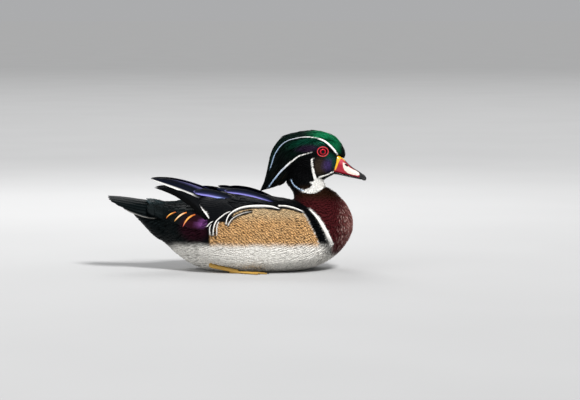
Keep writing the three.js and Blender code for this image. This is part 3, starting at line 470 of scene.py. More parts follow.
def body_colours(place, x, w):
    """Maroon breast, bars, tan flank, black back, rump and under-tail, white belly.

    The flank's fine barring is given as a share for the material to draw.
    """
    soft = grain(place, 6.0)
    ink = np.tile(INK["mantle"], (len(x), 1))
    front = fade(-0.8, 0.8, x - line_place(w, MAROON_EDGE))
    maroon = mix(INK["maroon"], INK["rose"], fade(118, 142, x) * (0.4 + 0.6 * soft))
    bronze = fade(86, 99, w) * fade(56, 74, x)
    maroon = mix(maroon, INK["olive"], bronze * 0.85)
    nape = fade(76, 66, x) * fade(93, 100, w)
    maroon = mix(maroon, INK["black"], nape * 0.8)
    ink = mix(ink, maroon, front)
    edge = line_place(w, FLANK_FRONT)
    top = np.maximum(line_height(x, FLANK_TOP_REAR + FLANK_TOP_FRONT), 0)
    rear = np.interp(w, [30, 46, 52, 60, 70], [-44, -43.5, -42.5, -36, -20])
    flank = fade(-0.5, 0.5, edge - x) * fade(-0.5, 0.5, top - w)
    flank *= fade(-1.5, 1.5, x - rear)
    tan = mix(INK["tan"], INK["sand"], fade(58, 76, w) * 0.8 + 0.25 * soft - 0.1)
    ink = mix(ink, tan, flank)
    behind = fade(-40, -46, x)
    # Teal along the rump's top is a painted glint on its dark gloss, where the light catches it.
    rump = mix(INK["rump_green"], INK["teal"], fade(84, 90, w) * soft * 0.7)
    ink = mix(ink, rump, behind * fade(-46, -56, x))
    plum = blob(x, w, *PATCH["plum"])
    ink = mix(ink, INK["plum"], behind * plum)
    # A brighter amethyst spot inside the dark plum patch is a painted sheen, a highlight on its gloss.
    sheen = blob(x, w, *PATCH["amethyst_sheen"])
    ink = mix(ink, INK["amethyst_sheen"], behind * sheen * (0.5 + 0.6 * grain(place, 2.2)))
    belly = fade(37, 27, w + 3 * (soft - 0.5)) * fade(-112, -84, x)
    belly *= 1 - fade(96, 118, x) * fade(14, 24, w)
    ink = mix(ink, INK["down"], belly)
    black = stroke(x, w, FLANK_TOP_REAR, [1.6, 3.4, 3.4, 3.4])
    black = np.maximum(black, stroke(x, w, FLANK_TOP_FRONT, [3.2, 3.2]))
    for rows in (FLANK_MAIN[4:], FLANK_INNER, FLANK_SECOND):
        black = np.maximum(black, stroke(x, w, rows, [2.4, 2.4, 1.6]))
    ink = mix(ink, INK["black"], black * (1 - front))
    lines = [(FLANK_TOP_FRONT, [0.6, 1.0, 0.4]), (FLANK_MAIN, [0.4, 1.2, 1.2, 0.5]),
             (FLANK_SECOND, [0.3, 0.5, 0.3]), (FLANK_INNER, [0.1, 0.3]),
             (BREAST_BAR, [0.9, 2.0, 2.4, 2.7, 2.8])]
    for rows, half in lines:
        ink = mix(ink, INK["white"], stroke(x, w, rows, half))
    for rows in REAR_DARK:
        ink = mix(ink, INK["black"], stroke(x, w, rows, [1.0, 1.3, 0.8]) * 0.9)
    for rows in (FLANK_THIRD, FLANK_REAR, FLANK_LAST):
        ink = mix(ink, INK["white"], stroke(x, w, rows, [0.3]))
    ink = mix(ink, INK["white"], stroke(x, w, FLANK_FRONT, [0.55, 0.4, 0.3]) * 0.8)
    pale = np.clip(ink.mean(1) * 4, 0, 1)
    fine = flank * (1 - black) * (1 - belly)
    return ink, (1 - pale) * np.where(behind > 0.5, 0.55, 0.3), fine


def is_head(place):
    """Share of head, crest and upper neck at a place."""
    x, z = place[:, 0], place[:, 2]
    return fade(-1, 1, z - 104 - 0.06 * (x - 60)) * (x > 14)


def plumage(place):
    """Colour, gloss and share of fine barring at places on the coat."""
    x, w = place[:, 0], seen_height(place)
    head = is_head(place)
    head_ink, head_gloss = head_colours(place, x, w)
    body_ink, body_gloss, fine = body_colours(place, x, w)
    ink = mix(body_ink, head_ink, head)
    gloss = body_gloss + (head_gloss - body_gloss) * head
    throat = inside(x, w, THROAT)
    ink = mix(mix(ink, INK["white"], throat), INK["ice"], stroke(x, w, NAPE_LINE, [0.6, 0.4, 0.2]))
    return ink, gloss * (1 - throat), fine * (1 - head)


def linked(name, data):
    """Object with its data, in the scene."""
    made = bpy.data.objects.new(name, data)
    bpy.context.collection.objects.link(made)
    return made


def make_mesh(name, points, triangles, ink, gloss, vane=None, bake=None, fine=None):
    """Mesh object from arrays in millimetres, with its colours and maps."""
    mesh = bpy.data.meshes.new(name)
    triangles = np.asarray(triangles, np.int32)
    mesh.vertices.add(len(points))
    mesh.vertices.foreach_set("co", (np.asarray(points) * MM).astype(np.float32).ravel())
    mesh.loops.add(3 * len(triangles))
    mesh.loops.foreach_set("vertex_index", triangles.ravel())
    mesh.polygons.add(len(triangles))
    mesh.polygons.foreach_set("loop_start", np.arange(0, 3 * len(triangles), 3, dtype=np.int32))
    mesh.update(calc_edges=True)
    mesh.polygons.foreach_set("use_smooth", np.ones(len(triangles), bool))
    paint = mesh.color_attributes.new("plumage", "FLOAT_COLOR", "POINT")
    rgba = np.concatenate([ink, np.asarray(gloss).reshape(-1, 1) + np.zeros((len(ink), 1))], 1)
    paint.data.foreach_set("color", rgba.astype(np.float32).ravel())
    for label, flat in (("OFBake", bake), ("vane", vane)):
        if flat is not None:
            layer = mesh.uv_layers.new(name=label)
            layer.data.foreach_set("uv", flat[triangles.ravel()].astype(np.float32).ravel())
    if fine is not None:
        layer = mesh.attributes.new("barring", "FLOAT", "POINT")
        layer.data.foreach_set("value", np.asarray(fine, np.float32))
    return linked(name, mesh)


def grid_triangles(rows, columns, closed=False):
    """Triangles of a grid of points; closed joins the last column to the first."""
    i, j = np.meshgrid(np.arange(rows - 1), np.arange(columns - (not closed)), indexing="ij")
    a = (i * columns + j).ravel()
    b = (i * columns + (j + 1) % columns).ravel()
    c, d = b + columns, a + columns
    return np.concatenate([np.stack([a, b, c], 1), np.stack([a, c, d], 1)])


def facing_out(points, faces):
    """Faces of a closed shape, turned over where they enclose it from the wrong side."""
    a, b, c = points[faces[:, 0]], points[faces[:, 1]], points[faces[:, 2]]
    inside_out = np.einsum("ij,ij->i", a, np.cross(b, c)).sum() < 0
    return faces[:, ::-1] if inside_out else faces


def tube(rings):
    """Closed tube over rings of points, as points and triangles that face outwards."""
    rings = np.asarray(rings, float)
    rows, columns = rings.shape[:2]
    points = np.concatenate([rings.reshape(-1, 3), rings[[0, -1]].mean(1)])
    j = np.arange(columns)
    k = (j + 1) % columns
    first, last = rows * columns, rows * columns + 1
    faces = np.concatenate([grid_triangles(rows, columns, closed=True), np.stack([k, j, j * 0 + first], 1),
                            np.stack([j, k, j * 0 + last], 1) + [[columns * (rows - 1)] * 2 + [0]]])
    return [points, facing_out(points, faces)]


def merge_parts(parts):
    """Joins parts, each its points and faces, into one."""
    offset, faces = 0, []
    for part in parts:
        faces.append(part[1] + offset)
        offset += len(part[0])
    return [np.concatenate([part[0] for part in parts]), np.concatenate(faces)]


def mirrored(part):
    """The same part on the other side."""
    return [part[0] * np.array([1, -1, 1]), part[1][:, ::-1]]


# The bird's right side as it was made, and its left side from the same part.
SIDES = (("right", list), ("left", mirrored))
# Stretches of the skin: first and last place, and rings between them.
SKIN_STRETCH = {"trunk": (-106, 138.6, 70), "neck": (78, 134, 30), "head": (55.6, 130, 46),
                "crest": (1, 91, 60), "undertail": (-143, -88, 20)}


def skin_rings():
    """Rings of the skin under the coat: trunk, neck, head, crest and under-tail."""
    turn = np.arange(0, 360, 6.0)
    trunk = [trunk_point(x, turn, -DEPTH["trunk"]) for x in np.linspace(*SKIN_STRETCH["trunk"])]
    for ring in trunk:
        ring[:, 2] = np.maximum(ring[:, 2], DEPTH["trunk"])
    neck = []
    t = np.radians(turn)
    for z in np.linspace(*SKIN_STRETCH["neck"]):
        middle, long, half = neck_at(z)
        neck.append(np.stack([middle + (long - DEPTH["neck"]) * np.cos(t),
                              (half - DEPTH["neck"]) * np.sin(t), 0 * t + z], -1))
    head = []
    for x in np.linspace(*SKIN_STRETCH["head"]):
        top, bottom, half, wide = head_at(x)
        rise = np.cos(t)
        sunk = min(DEPTH["head"], 0.4 * half)
        reach = np.where(rise > 0, top - wide - sunk, wide - bottom - sunk)
        head.append(np.stack([0 * t + x, (half - sunk) * signed_power(np.sin(t), 2 / HEAD_FULLNESS),
                              wide + reach * signed_power(rise, 2 / HEAD_FULLNESS)], -1))
    crest = []
    for share in np.linspace(*SKIN_STRETCH["crest"]):
        crest.append(crest_point(np.full(len(turn), share), turn,
                                 DEPTH["crest"] * (0.35 + 0.65 * min(1.0, share / 25))))
    under = [undertail_point(x, turn, DEPTH["undertail"])
             for x in np.linspace(*SKIN_STRETCH["undertail"])]
    return [trunk, neck, head, crest, under]


def plain_mesh(name, points, faces):
    """Object from points in millimetres and faces."""
    mesh = bpy.data.meshes.new(name)
    mesh.from_pydata((points * MM).tolist(), [], faces.tolist())
    return linked(name, mesh)


def finished(piece, name):
    """A plain mesh of the piece with its modifiers worked in."""
    graph = bpy.context.evaluated_depsgraph_get()
    mesh = bpy.data.meshes.new_from_object(piece.evaluated_get(graph), depsgraph=graph)
    bpy.data.objects.remove(piece)
    mesh.name = name
    return linked(name, mesh)


def vertex_rows(piece, what):
    """One row of three numbers for each vertex of a piece."""
    rows = np.empty(3 * len(piece.data.vertices), np.float32)
    piece.data.vertices.foreach_get(what, rows)
    return rows.reshape(-1, 3)


# The parts of the skin are melted together in voxels, and the steps are eased away.
SKIN_VOXEL, SKIN_EASE = 1.5, 9
skin = plain_mesh("skin_raw", *merge_parts([tube(rings) for rings in skin_rings()]))
melt = skin.modifiers.new("melt", "REMESH")
melt.mode = "VOXEL"
melt.voxel_size = SKIN_VOXEL * MM
ease = skin.modifiers.new("ease", "SMOOTH")
ease.factor = 0.5
ease.iterations = SKIN_EASE
skin = finished(skin, "skin")
skin_points = vertex_rows(skin, "co").astype(float) / MM
skin_normals = vertex_rows(skin, "normal").astype(float)
skin_faces = np.array([tuple(p.vertices) for p in skin.data.polygons])
skin_tree = BVHTree.FromPolygons(skin_points.tolist(), skin_faces.tolist())


def on_skin(place):
    """Nearest places on the skin, with smooth normals."""
    spots, normals = np.empty_like(place), np.empty_like(place)
    for i, p in enumerate(place):
        spot, _, face, _ = skin_tree.find_nearest(Vector(p))
        spots[i] = spot
        corner = skin_faces[face]
        weight = 1 / (np.linalg.norm(skin_points[corner] - spots[i], axis=1) + 0.2)
        normals[i] = weight @ skin_normals[corner]
    return spots, unit(normals)


BILL_ROOT = np.array([121.0, 0, 141.0])
CREST_PATH = np.stack([crest_point(np.arange(0, 101.0), a) for a in (0.0, 180.0)]).mean(0)
CREST_LIE = unit(np.gradient(CREST_PATH, axis=0))


def lie_of_coat(place, normal):
    """Direction that the feathers point at places on the skin.

    They run away from the bill over the face, along the crest behind it, down the neck, and
    backwards over the body.
    """
    x, z = place[:, 0], place[:, 2]
    head = is_head(place)
    face = unit(place - BILL_ROOT)
    gap = np.linalg.norm(place[:, None, ::2] - CREST_PATH[None, ::4, ::2], axis=2)
    crest = CREST_LIE[::4][gap.argmin(1)]
    back = fade(98, 66, x) * fade(112, 128, z)
    ahead = mix(face, crest, back)
    down = np.array([-0.35, 0, -1.0]) / 1.06
    neck = fade(128, 112, z) * fade(52, 62, x)
    ahead = mix(ahead, np.broadcast_to(down, ahead.shape), neck)
    body = mix(np.array([-1.0, 0, -0.32]), np.array([-0.3, 0, -1.0]), fade(96, 126, x))
    body[:, 2] -= 0.9 * fade(86, 102, z) * (x > 45)
    lie = mix(unit(body), unit(ahead), head)
    lie -= normal * (lie * normal).sum(1, keepdims=True)
    return unit(lie)


# Places tried for each root that fits.
TRIES = 4.5


def scatter(spacing, region, seed):
    """Roots spread evenly over a region of the skin, at a spacing that may change over it."""
    draw = np.random.default_rng(seed)
    quad = skin_points[skin_faces]
    size = np.linalg.norm(np.cross(quad[:, 2] - quad[:, 0], quad[:, 3] - quad[:, 1]), axis=1) / 2
    middle = quad.mean(1)
    wanted = region(middle)
    apart = spacing(middle)
    weight = np.where(wanted, size / apart ** 2, 0)
    count = int(weight.sum() * TRIES)
    pick = draw.choice(len(weight), count, p=weight / weight.sum())
    s, t = draw.random((2, count, 1))
    a, b, c, d = (quad[pick, k] for k in range(4))
    place = (a * (1 - s) + b * s) * (1 - t) + (d * (1 - s) + c * s) * t
    apart = spacing(place)
    tree = KDTree(count)
    for i, p in enumerate(place):
        tree.insert(p, i)
    tree.balance()
    free = np.ones(count, bool)
    kept = []
    for i in range(count):
        if free[i]:
            kept.append(i)
            for _, k, _ in tree.find_range(place[i], apart[i]):
                free[k] = False
    return place[kept]


def feather_faces(rows):
    """Faces of a small feather: rows of left edge, top, right edge and underside, and a tip."""
    ring = grid_triangles(rows, 4, closed=True)
    last = 4 * (rows - 1)
    tip = [[last + k, last + (k + 1) % 4, 4 * rows] for k in range(4)]
    return np.concatenate([ring, tip, [[1, 0, 2], [2, 0, 3]]])


# Half the thickness of a small feather, its sag at the edges for each millimetre of half
# width, and the least height over the floor for small and for large feathers.
COAT_THICK, COAT_SAG = 0.11, 0.07
COAT_FLOOR, VANE_FLOOR = 0.25, 0.3


def coat(roots, length, half, rise, form, shares, seed, jitter):
    """Feathers that lie along the skin from their roots, each a thin closed vane."""
    draw = np.random.default_rng(seed)
    count, rows = len(roots), len(shares)
    length = length * draw.uniform(0.85, 1.15, count)
    half = half * draw.uniform(0.88, 1.12, count)
    lean = draw.normal(0, jitter, count)

    def leaned(spot, normal):
        """Lie of the feathers, each turned a little from its neighbours'."""
        lie = lie_of_coat(spot, normal)
        return unit(lie + np.cross(normal, lie) * lean[:, None])

    spot, normal = on_skin(roots)
    lie = leaned(spot, normal)
    rings, last = [], 0.0
    width = np.interp(shares, *form)
    for k, share in enumerate([*shares, 1.0]):
        if share > last:
            spot, normal = on_skin(spot + lie * ((share - last) * length)[:, None])
            lie = leaned(spot, normal)
            last = share
        side = np.cross(normal, lie)
        height = (rise[0] + (rise[1] - rise[0]) * share) + 0.7 * jitter * draw.normal(size=count)
        if k == rows:
            tip = spot + normal * height[:, None]
            break
        across = side * (half * width[k])[:, None]
        thick = normal * COAT_THICK
        centre = spot + normal * height[:, None]
        camber = normal * (COAT_SAG * half * width[k])[:, None]
        rings.append(np.stack([centre + across - camber, centre + thick, centre - across - camber,
                               centre - thick - 0.6 * camber], 1))
    points = np.concatenate([np.stack(rings, 1).reshape(count, -1, 3), tip[:, None]], 1)
    lowest = COAT_FLOOR + 0.1 * (np.arange(points.shape[1]) % 4 == 1)
    points[:, :, 2] = np.maximum(points[:, :, 2], lowest)
    faces = feather_faces(rows)
    per = points.shape[1]
    faces = (faces[None] + per * np.arange(count)[:, None, None]).reshape(-1, 3)
    share = np.append(np.repeat(shares, 4), 1.0)
    u = np.append(np.tile([-1.0, 0, 1.0, 0], rows) * np.repeat(width, 4), 0.0)
    vane = np.stack([u[None] * half[:, None], share[None] * length[:, None]], -1)
    return points, faces, vane, share, u


def unwrap(place):
    """Flat map of the skin's own shape: round it and along it, body, neck and head in turn."""
    x, y, z = np.moveaxis(place, -1, 0)
    upper = (z > 104) & (x > 14)
    middle = np.where(upper, 143.0, 52.0)
    round_x = np.arctan2(y, z - middle) / (2 * np.pi) + 0.5
    along = np.where(upper, (x - 10) / 125, (x + 155) / 300)
    neck = upper & (z < 124) & (x > 50)
    round_z = np.arctan2(y, x - 79) / (2 * np.pi) + 0.5
    u = np.where(neck, round_z, round_x)
    v = np.where(neck, 0.3 * (z - 100) / 24, np.where(upper, 0.3 + 0.7 * along, along))
    return np.stack([0.01 + 0.98 * u, 0.01 + 0.98 * np.clip(v, 0, 1)], -1)


# Size of one feather's patch of the flat map.
BAKE_PATCH = 0.003


def bake_patches(roots, vane, length, half):
    """A small patch of the flat map for each feather, at its root's place."""
    scale = BAKE_PATCH / np.maximum(length, 2 * half)[:, None, None]
    patch = (vane - vane.mean(1, keepdims=True)) * scale
    flat = unwrap(roots)[:, None] + patch
    return np.clip(flat, 0, 1)


def coat_piece(name, roots, length, half, rise, form, shares, seed, jitter, vary, fleck):
    """One piece of coat over the skin, coloured by the markings."""
    length, half = np.broadcast_to(length, len(roots)), np.broadcast_to(half, len(roots))
    points, faces, vane, share, u = coat(roots, length, half, rise, form, shares, seed, jitter)
    flat = points.reshape(-1, 3)
    draw = np.random.default_rng(seed + 500)
    shift = np.repeat(draw.normal(0, 0.12, (len(roots), 3)), points.shape[1], 0)
    ink, gloss, fine = plumage(flat + shift)
    tone = np.repeat(draw.uniform(1 - vary, 1 + vary, len(roots)), points.shape[1])
    ink = ink * tone[:, None]
    if fleck is not None:
        spot = np.repeat(fleck(roots, draw), points.shape[1]).reshape(len(roots), -1)
        spot = spot * ((share > 0.72) & (np.abs(u) < 0.2))[None]
        ink = mix(ink, INK["petal"], spot.ravel())
    bake = bake_patches(roots, vane, length, half).reshape(-1, 2)
    return make_mesh(name, flat, faces, ink, gloss, vane.reshape(-1, 2), bake, fine)


# Spacing, length and half width of the small feathers. They are fewer and larger than on a
# live bird, so that each keeps a shape of its own.
SIZES = {
    "nape": [1.7, 5.6, 0.95], "face": [1.2, 3.2, 0.72], "neck": [1.5, 5.6, 1.0],
    "back": [2.3, 8.5, 1.9], "rump": [3.0, 13.0, 3.0], "flank": [1.9, 10.5, 1.6],
    "breast": [1.9, 7.0, 1.45], "neck_base": [1.5, 5.8, 1.1], "bars": [1.25, 8.0, 0.85],
}
SIZES = {name: np.array(row) for name, row in SIZES.items()}
BARRED = [FLANK_TOP_REAR, FLANK_TOP_FRONT, FLANK_SECOND, FLANK_FRONT, BREAST_BAR, FLANK_INNER,
          FLANK_MAIN]


def region_sizes(place):
    """Spacing, length and half width of the small feathers at places on the skin."""
    x, z, w = place[:, 0], place[:, 2], seen_height(place)
    head = mix(SIZES["nape"], SIZES["face"], fade(80, 96, x))
    head = mix(head, SIZES["neck"], fade(118, 106, z) * fade(108, 96, x))
    body = mix(SIZES["back"], SIZES["rump"], fade(-40, -70, x))
    body = mix(body, SIZES["flank"], on_flank(place))
    body = mix(body, SIZES["breast"], fade(40, 60, x))
    body = mix(body, SIZES["neck_base"], fade(84, 98, z) * fade(56, 70, x))
    bars = np.max([stroke(x, w, rows, [4.5], soft=1.0) for rows in BARRED], axis=0)
    body = mix(body, SIZES["bars"], bars)
    return np.moveaxis(mix(body, head, is_head(place)), -1, 0)


def trunk_angle(place):
    """Angle round the trunk, 0 at the middle of the back and 180 under the belly."""
    x, y, z = np.moveaxis(place, -1, 0)
    top, bottom, half, wide, upper, lower = np.moveaxis(trunk_at(x), -1, 0)
    power = np.where(z > wide, upper, lower) / 2
    reach = np.where(z > wide, top - wide, wide - bottom)
    rise = signed_power(np.clip((z - wide) / reach, -1, 1), power)
    across = np.clip(np.abs(y) / half, 0, 1) ** power
    return np.degrees(np.arctan2(across, rise))


def on_flank(place):
    """Share of the raised flank at places on the trunk."""
    x, w = place[:, 0], seen_height(place)
    edge = line_place(w, FLANK_FRONT)
    share = inside(x, w, FLANK_AREA, soft=2.0) * (0.4 + 0.6 * fade(0, 9, edge - x))
    return share * fade(137, 120, trunk_angle(place))


def between(value, limits):
    """Whether values lie between two limits."""
    return (value > limits[0]) & (value < limits[1])


# What the folded wing hides, the eye's opening and where the bill stands.
WING_HIDES = {"x": (-38, 44), "angle": (14, 46), "z": (0, 112)}
EYE_OPENING = {"long": 7.4, "high": 6.3, "ahead": 0.6, "out": 9}
BILL_STANDS = {"x": [119, 130.6], "top": [150.5, 141.4], "back": 117.5, "z": (118, 147)}


def under_wing(place):
    """Places that the folded wing hides."""
    return (between(place[:, 0], WING_HIDES["x"]) & between(trunk_angle(place), WING_HIDES["angle"])
            & between(place[:, 2], WING_HIDES["z"]))


def in_opening(place):
    """Places inside the eyes' openings, at the bill and under the tail."""
    x, y, z = np.moveaxis(place, -1, 0)
    ahead, up = x - EYE["x"] - EYE_OPENING["ahead"], z - EYE["z"]
    eye = np.hypot(ahead / EYE_OPENING["long"], up / EYE_OPENING["high"]) < 1
    eye &= np.abs(y) > EYE_OPENING["out"]
    top = np.interp(x, BILL_STANDS["x"], BILL_STANDS["top"])
    bill = (x > BILL_STANDS["x"][0]) & (z < top) & (z > BILL_STANDS["z"][0])
    bill |= (x > BILL_STANDS["back"]) & between(z, BILL_STANDS["z"])
    tail = (x < -104) & (z > np.interp(x, [-143, -104], [78, 80]))
    return eye | bill | tail


# Rows of a small feather, as shares of its length, and its outline as widths along it.
SMALL_ROWS = [0.0, 0.38, 0.74]
LONG_ROWS = [0.0, 0.25, 0.5, 0.72, 0.9]
ROUND = ([0, 0.3, 0.74, 0.9, 1], [0.55, 1, 0.82, 0.5, 0.1])
NARROW = ([0, 0.3, 0.7, 1], [0.7, 1, 0.6, 0.05])


PIECES = []


def keep(piece, nodes):
    """Files a finished piece, fixed to the root body, and hides the solids that it stands for."""
    PIECES.append(piece)
    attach(piece, "root")
    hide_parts(*nodes)


def dress(name, region, rise, form, shares, seed, nodes, jitter=0.15, vary=0.12, fleck=None):
    """Scatters one region's feathers over the skin and makes its piece of coat."""
    def showing(place):
        return region(place) & ~in_opening(place) & ~under_wing(place)

    roots = scatter(lambda place: region_sizes(place)[0], showing, seed)
    _, length, half = region_sizes(roots)
    piece = coat_piece(name, roots, length, half, rise(roots), form, shares, seed, jitter, vary, fleck)
    keep(piece, nodes)


def body_rise(roots):
    """Heights of root and tip over the skin on the body, lifted on the flank."""
    flank = on_flank(roots)
    return 4.4 * flank - 0.3, DEPTH["trunk"] + 0.2 + 2.8 * flank


def part_of(low_x, high_x, head=False, flank=False):
    """Stretch of the coat along X, on the head or the body, on the flanks or off them."""
    def region(place):
        here = ((is_head(place) > 0.5) == head) & (place[:, 0] >= low_x) & (place[:, 0] < high_x)
        return here & (head | ((on_flank(place) > 0.15) == flank))
    return region


def breast_fleck(roots, draw):
    """Small pale tips over the front of the breast."""
    share = fade(114, 130, roots[:, 0]) * fade(26, 40, roots[:, 2])
    return share * (draw.random(len(roots)) < 0.4) * draw.uniform(0.15, 1.0, len(roots))


def flat_rise(low, high):
    """The same heights of root and tip over the skin at every root."""
    return lambda roots: (low + 0 * roots[:, 0], high + 0 * roots[:, 0])


dress("coat_face", part_of(88, 200, head=True), flat_rise(-0.25, 0.8), NARROW, SMALL_ROWS, 21,
      ["head"], jitter=0.12)
dress("coat_nape", part_of(14, 88, head=True), flat_rise(-0.3, 1.15), NARROW, SMALL_ROWS, 22,
      ["neck"], jitter=0.12)
dress("coat_breast", part_of(70, 200), body_rise, ROUND, SMALL_ROWS, 23, ["torso"],
      fleck=breast_fleck)
dress("coat_back", part_of(-40, 70), body_rise, ROUND, SMALL_ROWS, 24, ["torso"])
dress("coat_flank", part_of(-200, 200, flank=True), body_rise, NARROW, LONG_ROWS, 25,
      ["flank_right", "flank_left"], jitter=0.035, vary=0.035)
dress("coat_rump", part_of(-88, -40), body_rise, ROUND, LONG_ROWS, 26, ["rump"],
      jitter=0.1)
dress("coat_undertail", part_of(-200, -88), body_rise, ROUND, LONG_ROWS, 27,
      ["undertail"], jitter=0.1)

# Long locks of the crest, and the rows of a lock as shares of its length.
LOCKS = 2600
LOCK_ROWS = np.array([0, 0.18, 0.38, 0.58, 0.78, 0.92, 1.0])


def crest_locks(seed):
    """Shapes of the locks: half widths, centre lines, sides, normals and widths along them."""
    draw = np.random.default_rng(seed)
    share = 3 + 84 * draw.random(LOCKS) ** 0.9
    angle = draw.uniform(-172, 172, LOCKS)
    length = np.interp(share, [0, 30, 60, 87], [8, 15, 21, 22]) * draw.uniform(0.75, 1.15, LOCKS)
    drift = draw.normal(0, 5, LOCKS)
    half = np.interp(share, [0, 20, 60, 90], [0.8, 1.15, 1.25, 1.0]) * draw.uniform(0.75, 1.2, LOCKS)
    steps = LOCK_ROWS
    width = np.interp(steps, [0, 0.25, 0.6, 0.85, 1], [0.6, 1, 0.8, 0.4, 0.02])
    at = np.clip(share[:, None] + length[:, None] * steps, 0, 100)
    turn = angle[:, None] + drift[:, None] * steps
    depth = 1.7 - 1.7 * steps[None] + draw.normal(0, 0.3, (LOCKS, 1))
    centre = crest_point(at, turn, depth)
    beside = crest_point(at, turn + 4, depth) - crest_point(at, turn - 4, depth)
    lie = unit(np.gradient(centre, axis=1))
    side = unit(beside - lie * (beside * lie).sum(-1, keepdims=True))
    normal = np.cross(lie, side)
    outward = centre - crest_point(at, turn, depth + 2)
    normal *= np.sign((normal * outward).sum(-1, keepdims=True) + 1e-9)
    return half, centre, side, normal, width


def lock_piece(name, seed):
    """The crest's piece of coat, one closed narrow vane for each lock."""
    half, centre, side, normal, width = crest_locks(seed)
    reach = (half[:, None] * width)[:, :-1, None]
    middle, side, normal = centre[:, :-1], side[:, :-1], normal[:, :-1]
    rings = np.stack([middle + side * reach - normal * 0.2 * reach, middle + normal * 0.22,
                      middle - side * reach - normal * 0.2 * reach, middle - normal * 0.3], 2)
    points = np.concatenate([rings.reshape(LOCKS, -1, 3), centre[:, -1:]], 1)
    per = points.shape[1]
    faces = feather_faces(len(LOCK_ROWS) - 1)
    outward = np.cross(points[:, 5] - points[:, 1], points[:, 2] - points[:, 0])
    flip = (outward * normal[:, 0]).sum(-1) > 0
    faces = np.where(flip[:, None, None], faces[:, ::-1], faces)
    faces = (faces + per * np.arange(LOCKS)[:, None, None]).reshape(-1, 3)
    flat = points.reshape(-1, 3)
    flat[:, 2] = np.maximum(flat[:, 2], VANE_FLOOR)
    ink, gloss, fine = plumage(flat)
    draw = np.random.default_rng(seed + 1)
    ink = ink * np.repeat(draw.uniform(0.8, 1.2, LOCKS), per)[:, None]
    u = np.append(np.tile([-1.0, 0, 1.0, 0], len(LOCK_ROWS) - 1) * np.repeat(width[:-1], 4), 0)
    v = np.append(np.repeat(LOCK_ROWS[:-1], 4), 1.0)
    span = np.linalg.norm(np.diff(centre, axis=1), axis=-1).sum(1)
    vane = np.stack([u[None] * half[:, None], v[None] * span[:, None]], -1)
    bake = bake_patches(centre[:, 0], vane, span, half).reshape(-1, 2)
    piece = make_mesh(name, flat, faces, ink, gloss, vane.reshape(-1, 2), bake, fine)
    keep(piece, ["crest"])


lock_piece("crest_locks", 31)

# Large feathers: rings of points round each vane, set along a centre line. First the places
# across a vane and along it, then its outline as widths along it.
VANE_U = np.array([-1, -0.93, -0.8, -0.5, -0.1, 0, 0.1, 0.5, 0.8, 0.93, 1.0])
SHORT_U = np.array([-1, -0.7, -0.1, 0, 0.1, 0.7, 1.0])
VANE_S = np.array([0, 0.12, 0.25, 0.38, 0.5, 0.61, 0.71, 0.8, 0.87, 0.92, 0.95, 0.975, 0.99, 1.0])
SHORT_S = np.array([0, 0.2, 0.4, 0.6, 0.76, 0.88, 0.95, 1.0])
BLUNT = ([0, 0.2, 0.5, 0.78, 0.92, 0.98, 1], [0.4, 0.8, 1, 0.94, 0.62, 0.3, 0.03])
POINTED = ([0, 0.2, 0.45, 0.75, 0.92, 1], [0.5, 0.9, 1, 0.72, 0.34, 0.02])


def vane_set(centre, normal, half, form, across, along, camber=0.8, thick=0.34, ridge=0.16):
    """Closed vanes on centre lines (feather, row, 3), bent down at both sides."""
    count, rows = centre.shape[:2]
    lie = unit(np.gradient(centre, axis=1))
    normal = unit(normal - lie * (normal * lie).sum(-1, keepdims=True))
    side = np.cross(normal, lie)
    width = np.interp(along, *form)
    half = np.broadcast_to(half, count)
    sag = camber * across ** 2
    body = 0.5 * thick * (1 - np.abs(across) ** 3)
    back = across[-2:0:-1]
    u = np.concatenate([across, back])
    rise = np.concatenate([body + ridge * (across == 0) - sag, (-body - sag)[-2:0:-1]])
    reach = half[:, None, None] * width[None, :, None] * u
    drop = rise * (0.25 + 0.75 * width[None, :, None])
    rings = (centre[:, :, None] + side[:, :, None] * reach[..., None]
             + normal[:, :, None] * drop[..., None])
    ring = len(u)
    points = rings.reshape(count, -1, 3)
    faces = grid_triangles(rows, ring, closed=True)
    start = [[0, k + 1, k] for k in range(1, ring - 1)]
    last = (rows - 1) * ring
    end = [[last, last + k, last + k + 1] for k in range(1, ring - 1)]
    faces = np.concatenate([faces, start, end])
    first = rings[0]
    area = np.cross(first[1, len(across) // 2] - first[0, 0], first[0, len(across) // 2] - first[1, 0])
    if area @ normal[0, 0] > 0:
        faces = faces[:, ::-1]
    every = (faces[None] + rows * ring * np.arange(count)[:, None, None]).reshape(-1, 3)
    span = np.linalg.norm(np.diff(centre, axis=1), axis=-1).sum(1)
    s = np.repeat(along, ring)[None] + np.zeros((count, 1))
    v = span[:, None] * s
    across_all = np.tile(u, rows)[None] + np.zeros((count, 1))
    flat_u = across_all * half[:, None] * np.repeat(width, ring)[None]
    vane = np.stack([flat_u, v], -1)
    bake = bake_patches(centre[:, 0], vane, span, half)
    return {"points": points, "faces": every, "vane": vane, "bake": bake, "s": s, "u": across_all}


def vane_piece(name, sets, nodes, both=True):
    """One piece from sets of painted vanes, on one side or on both."""
    points, faces = merge_parts([(d["points"].reshape(-1, 3), d["faces"]) for d in sets])
    ink = np.concatenate([d["ink"][0].reshape(-1, 3) for d in sets])
    gloss, fine = (np.concatenate([d["ink"][k].ravel() for d in sets]) for k in (1, 2))
    vane, bake = (np.concatenate([d[k].reshape(-1, 2) for d in sets]) for k in ("vane", "bake"))
    if both:
        points, faces = merge_parts([[points, faces], mirrored([points, faces])])
        turned = bake * np.array([-1, 1]) + np.array([1, 0])
        ink, gloss, fine = np.tile(ink, (2, 1)), np.tile(gloss, 2), np.tile(fine, 2)
        vane, bake = np.tile(vane, (2, 1)), np.concatenate([bake, turned])
    points[:, 2] = np.maximum(points[:, 2], VANE_FLOOR)
    keep(make_mesh(name, points, faces, ink, gloss, vane, bake, fine), nodes)


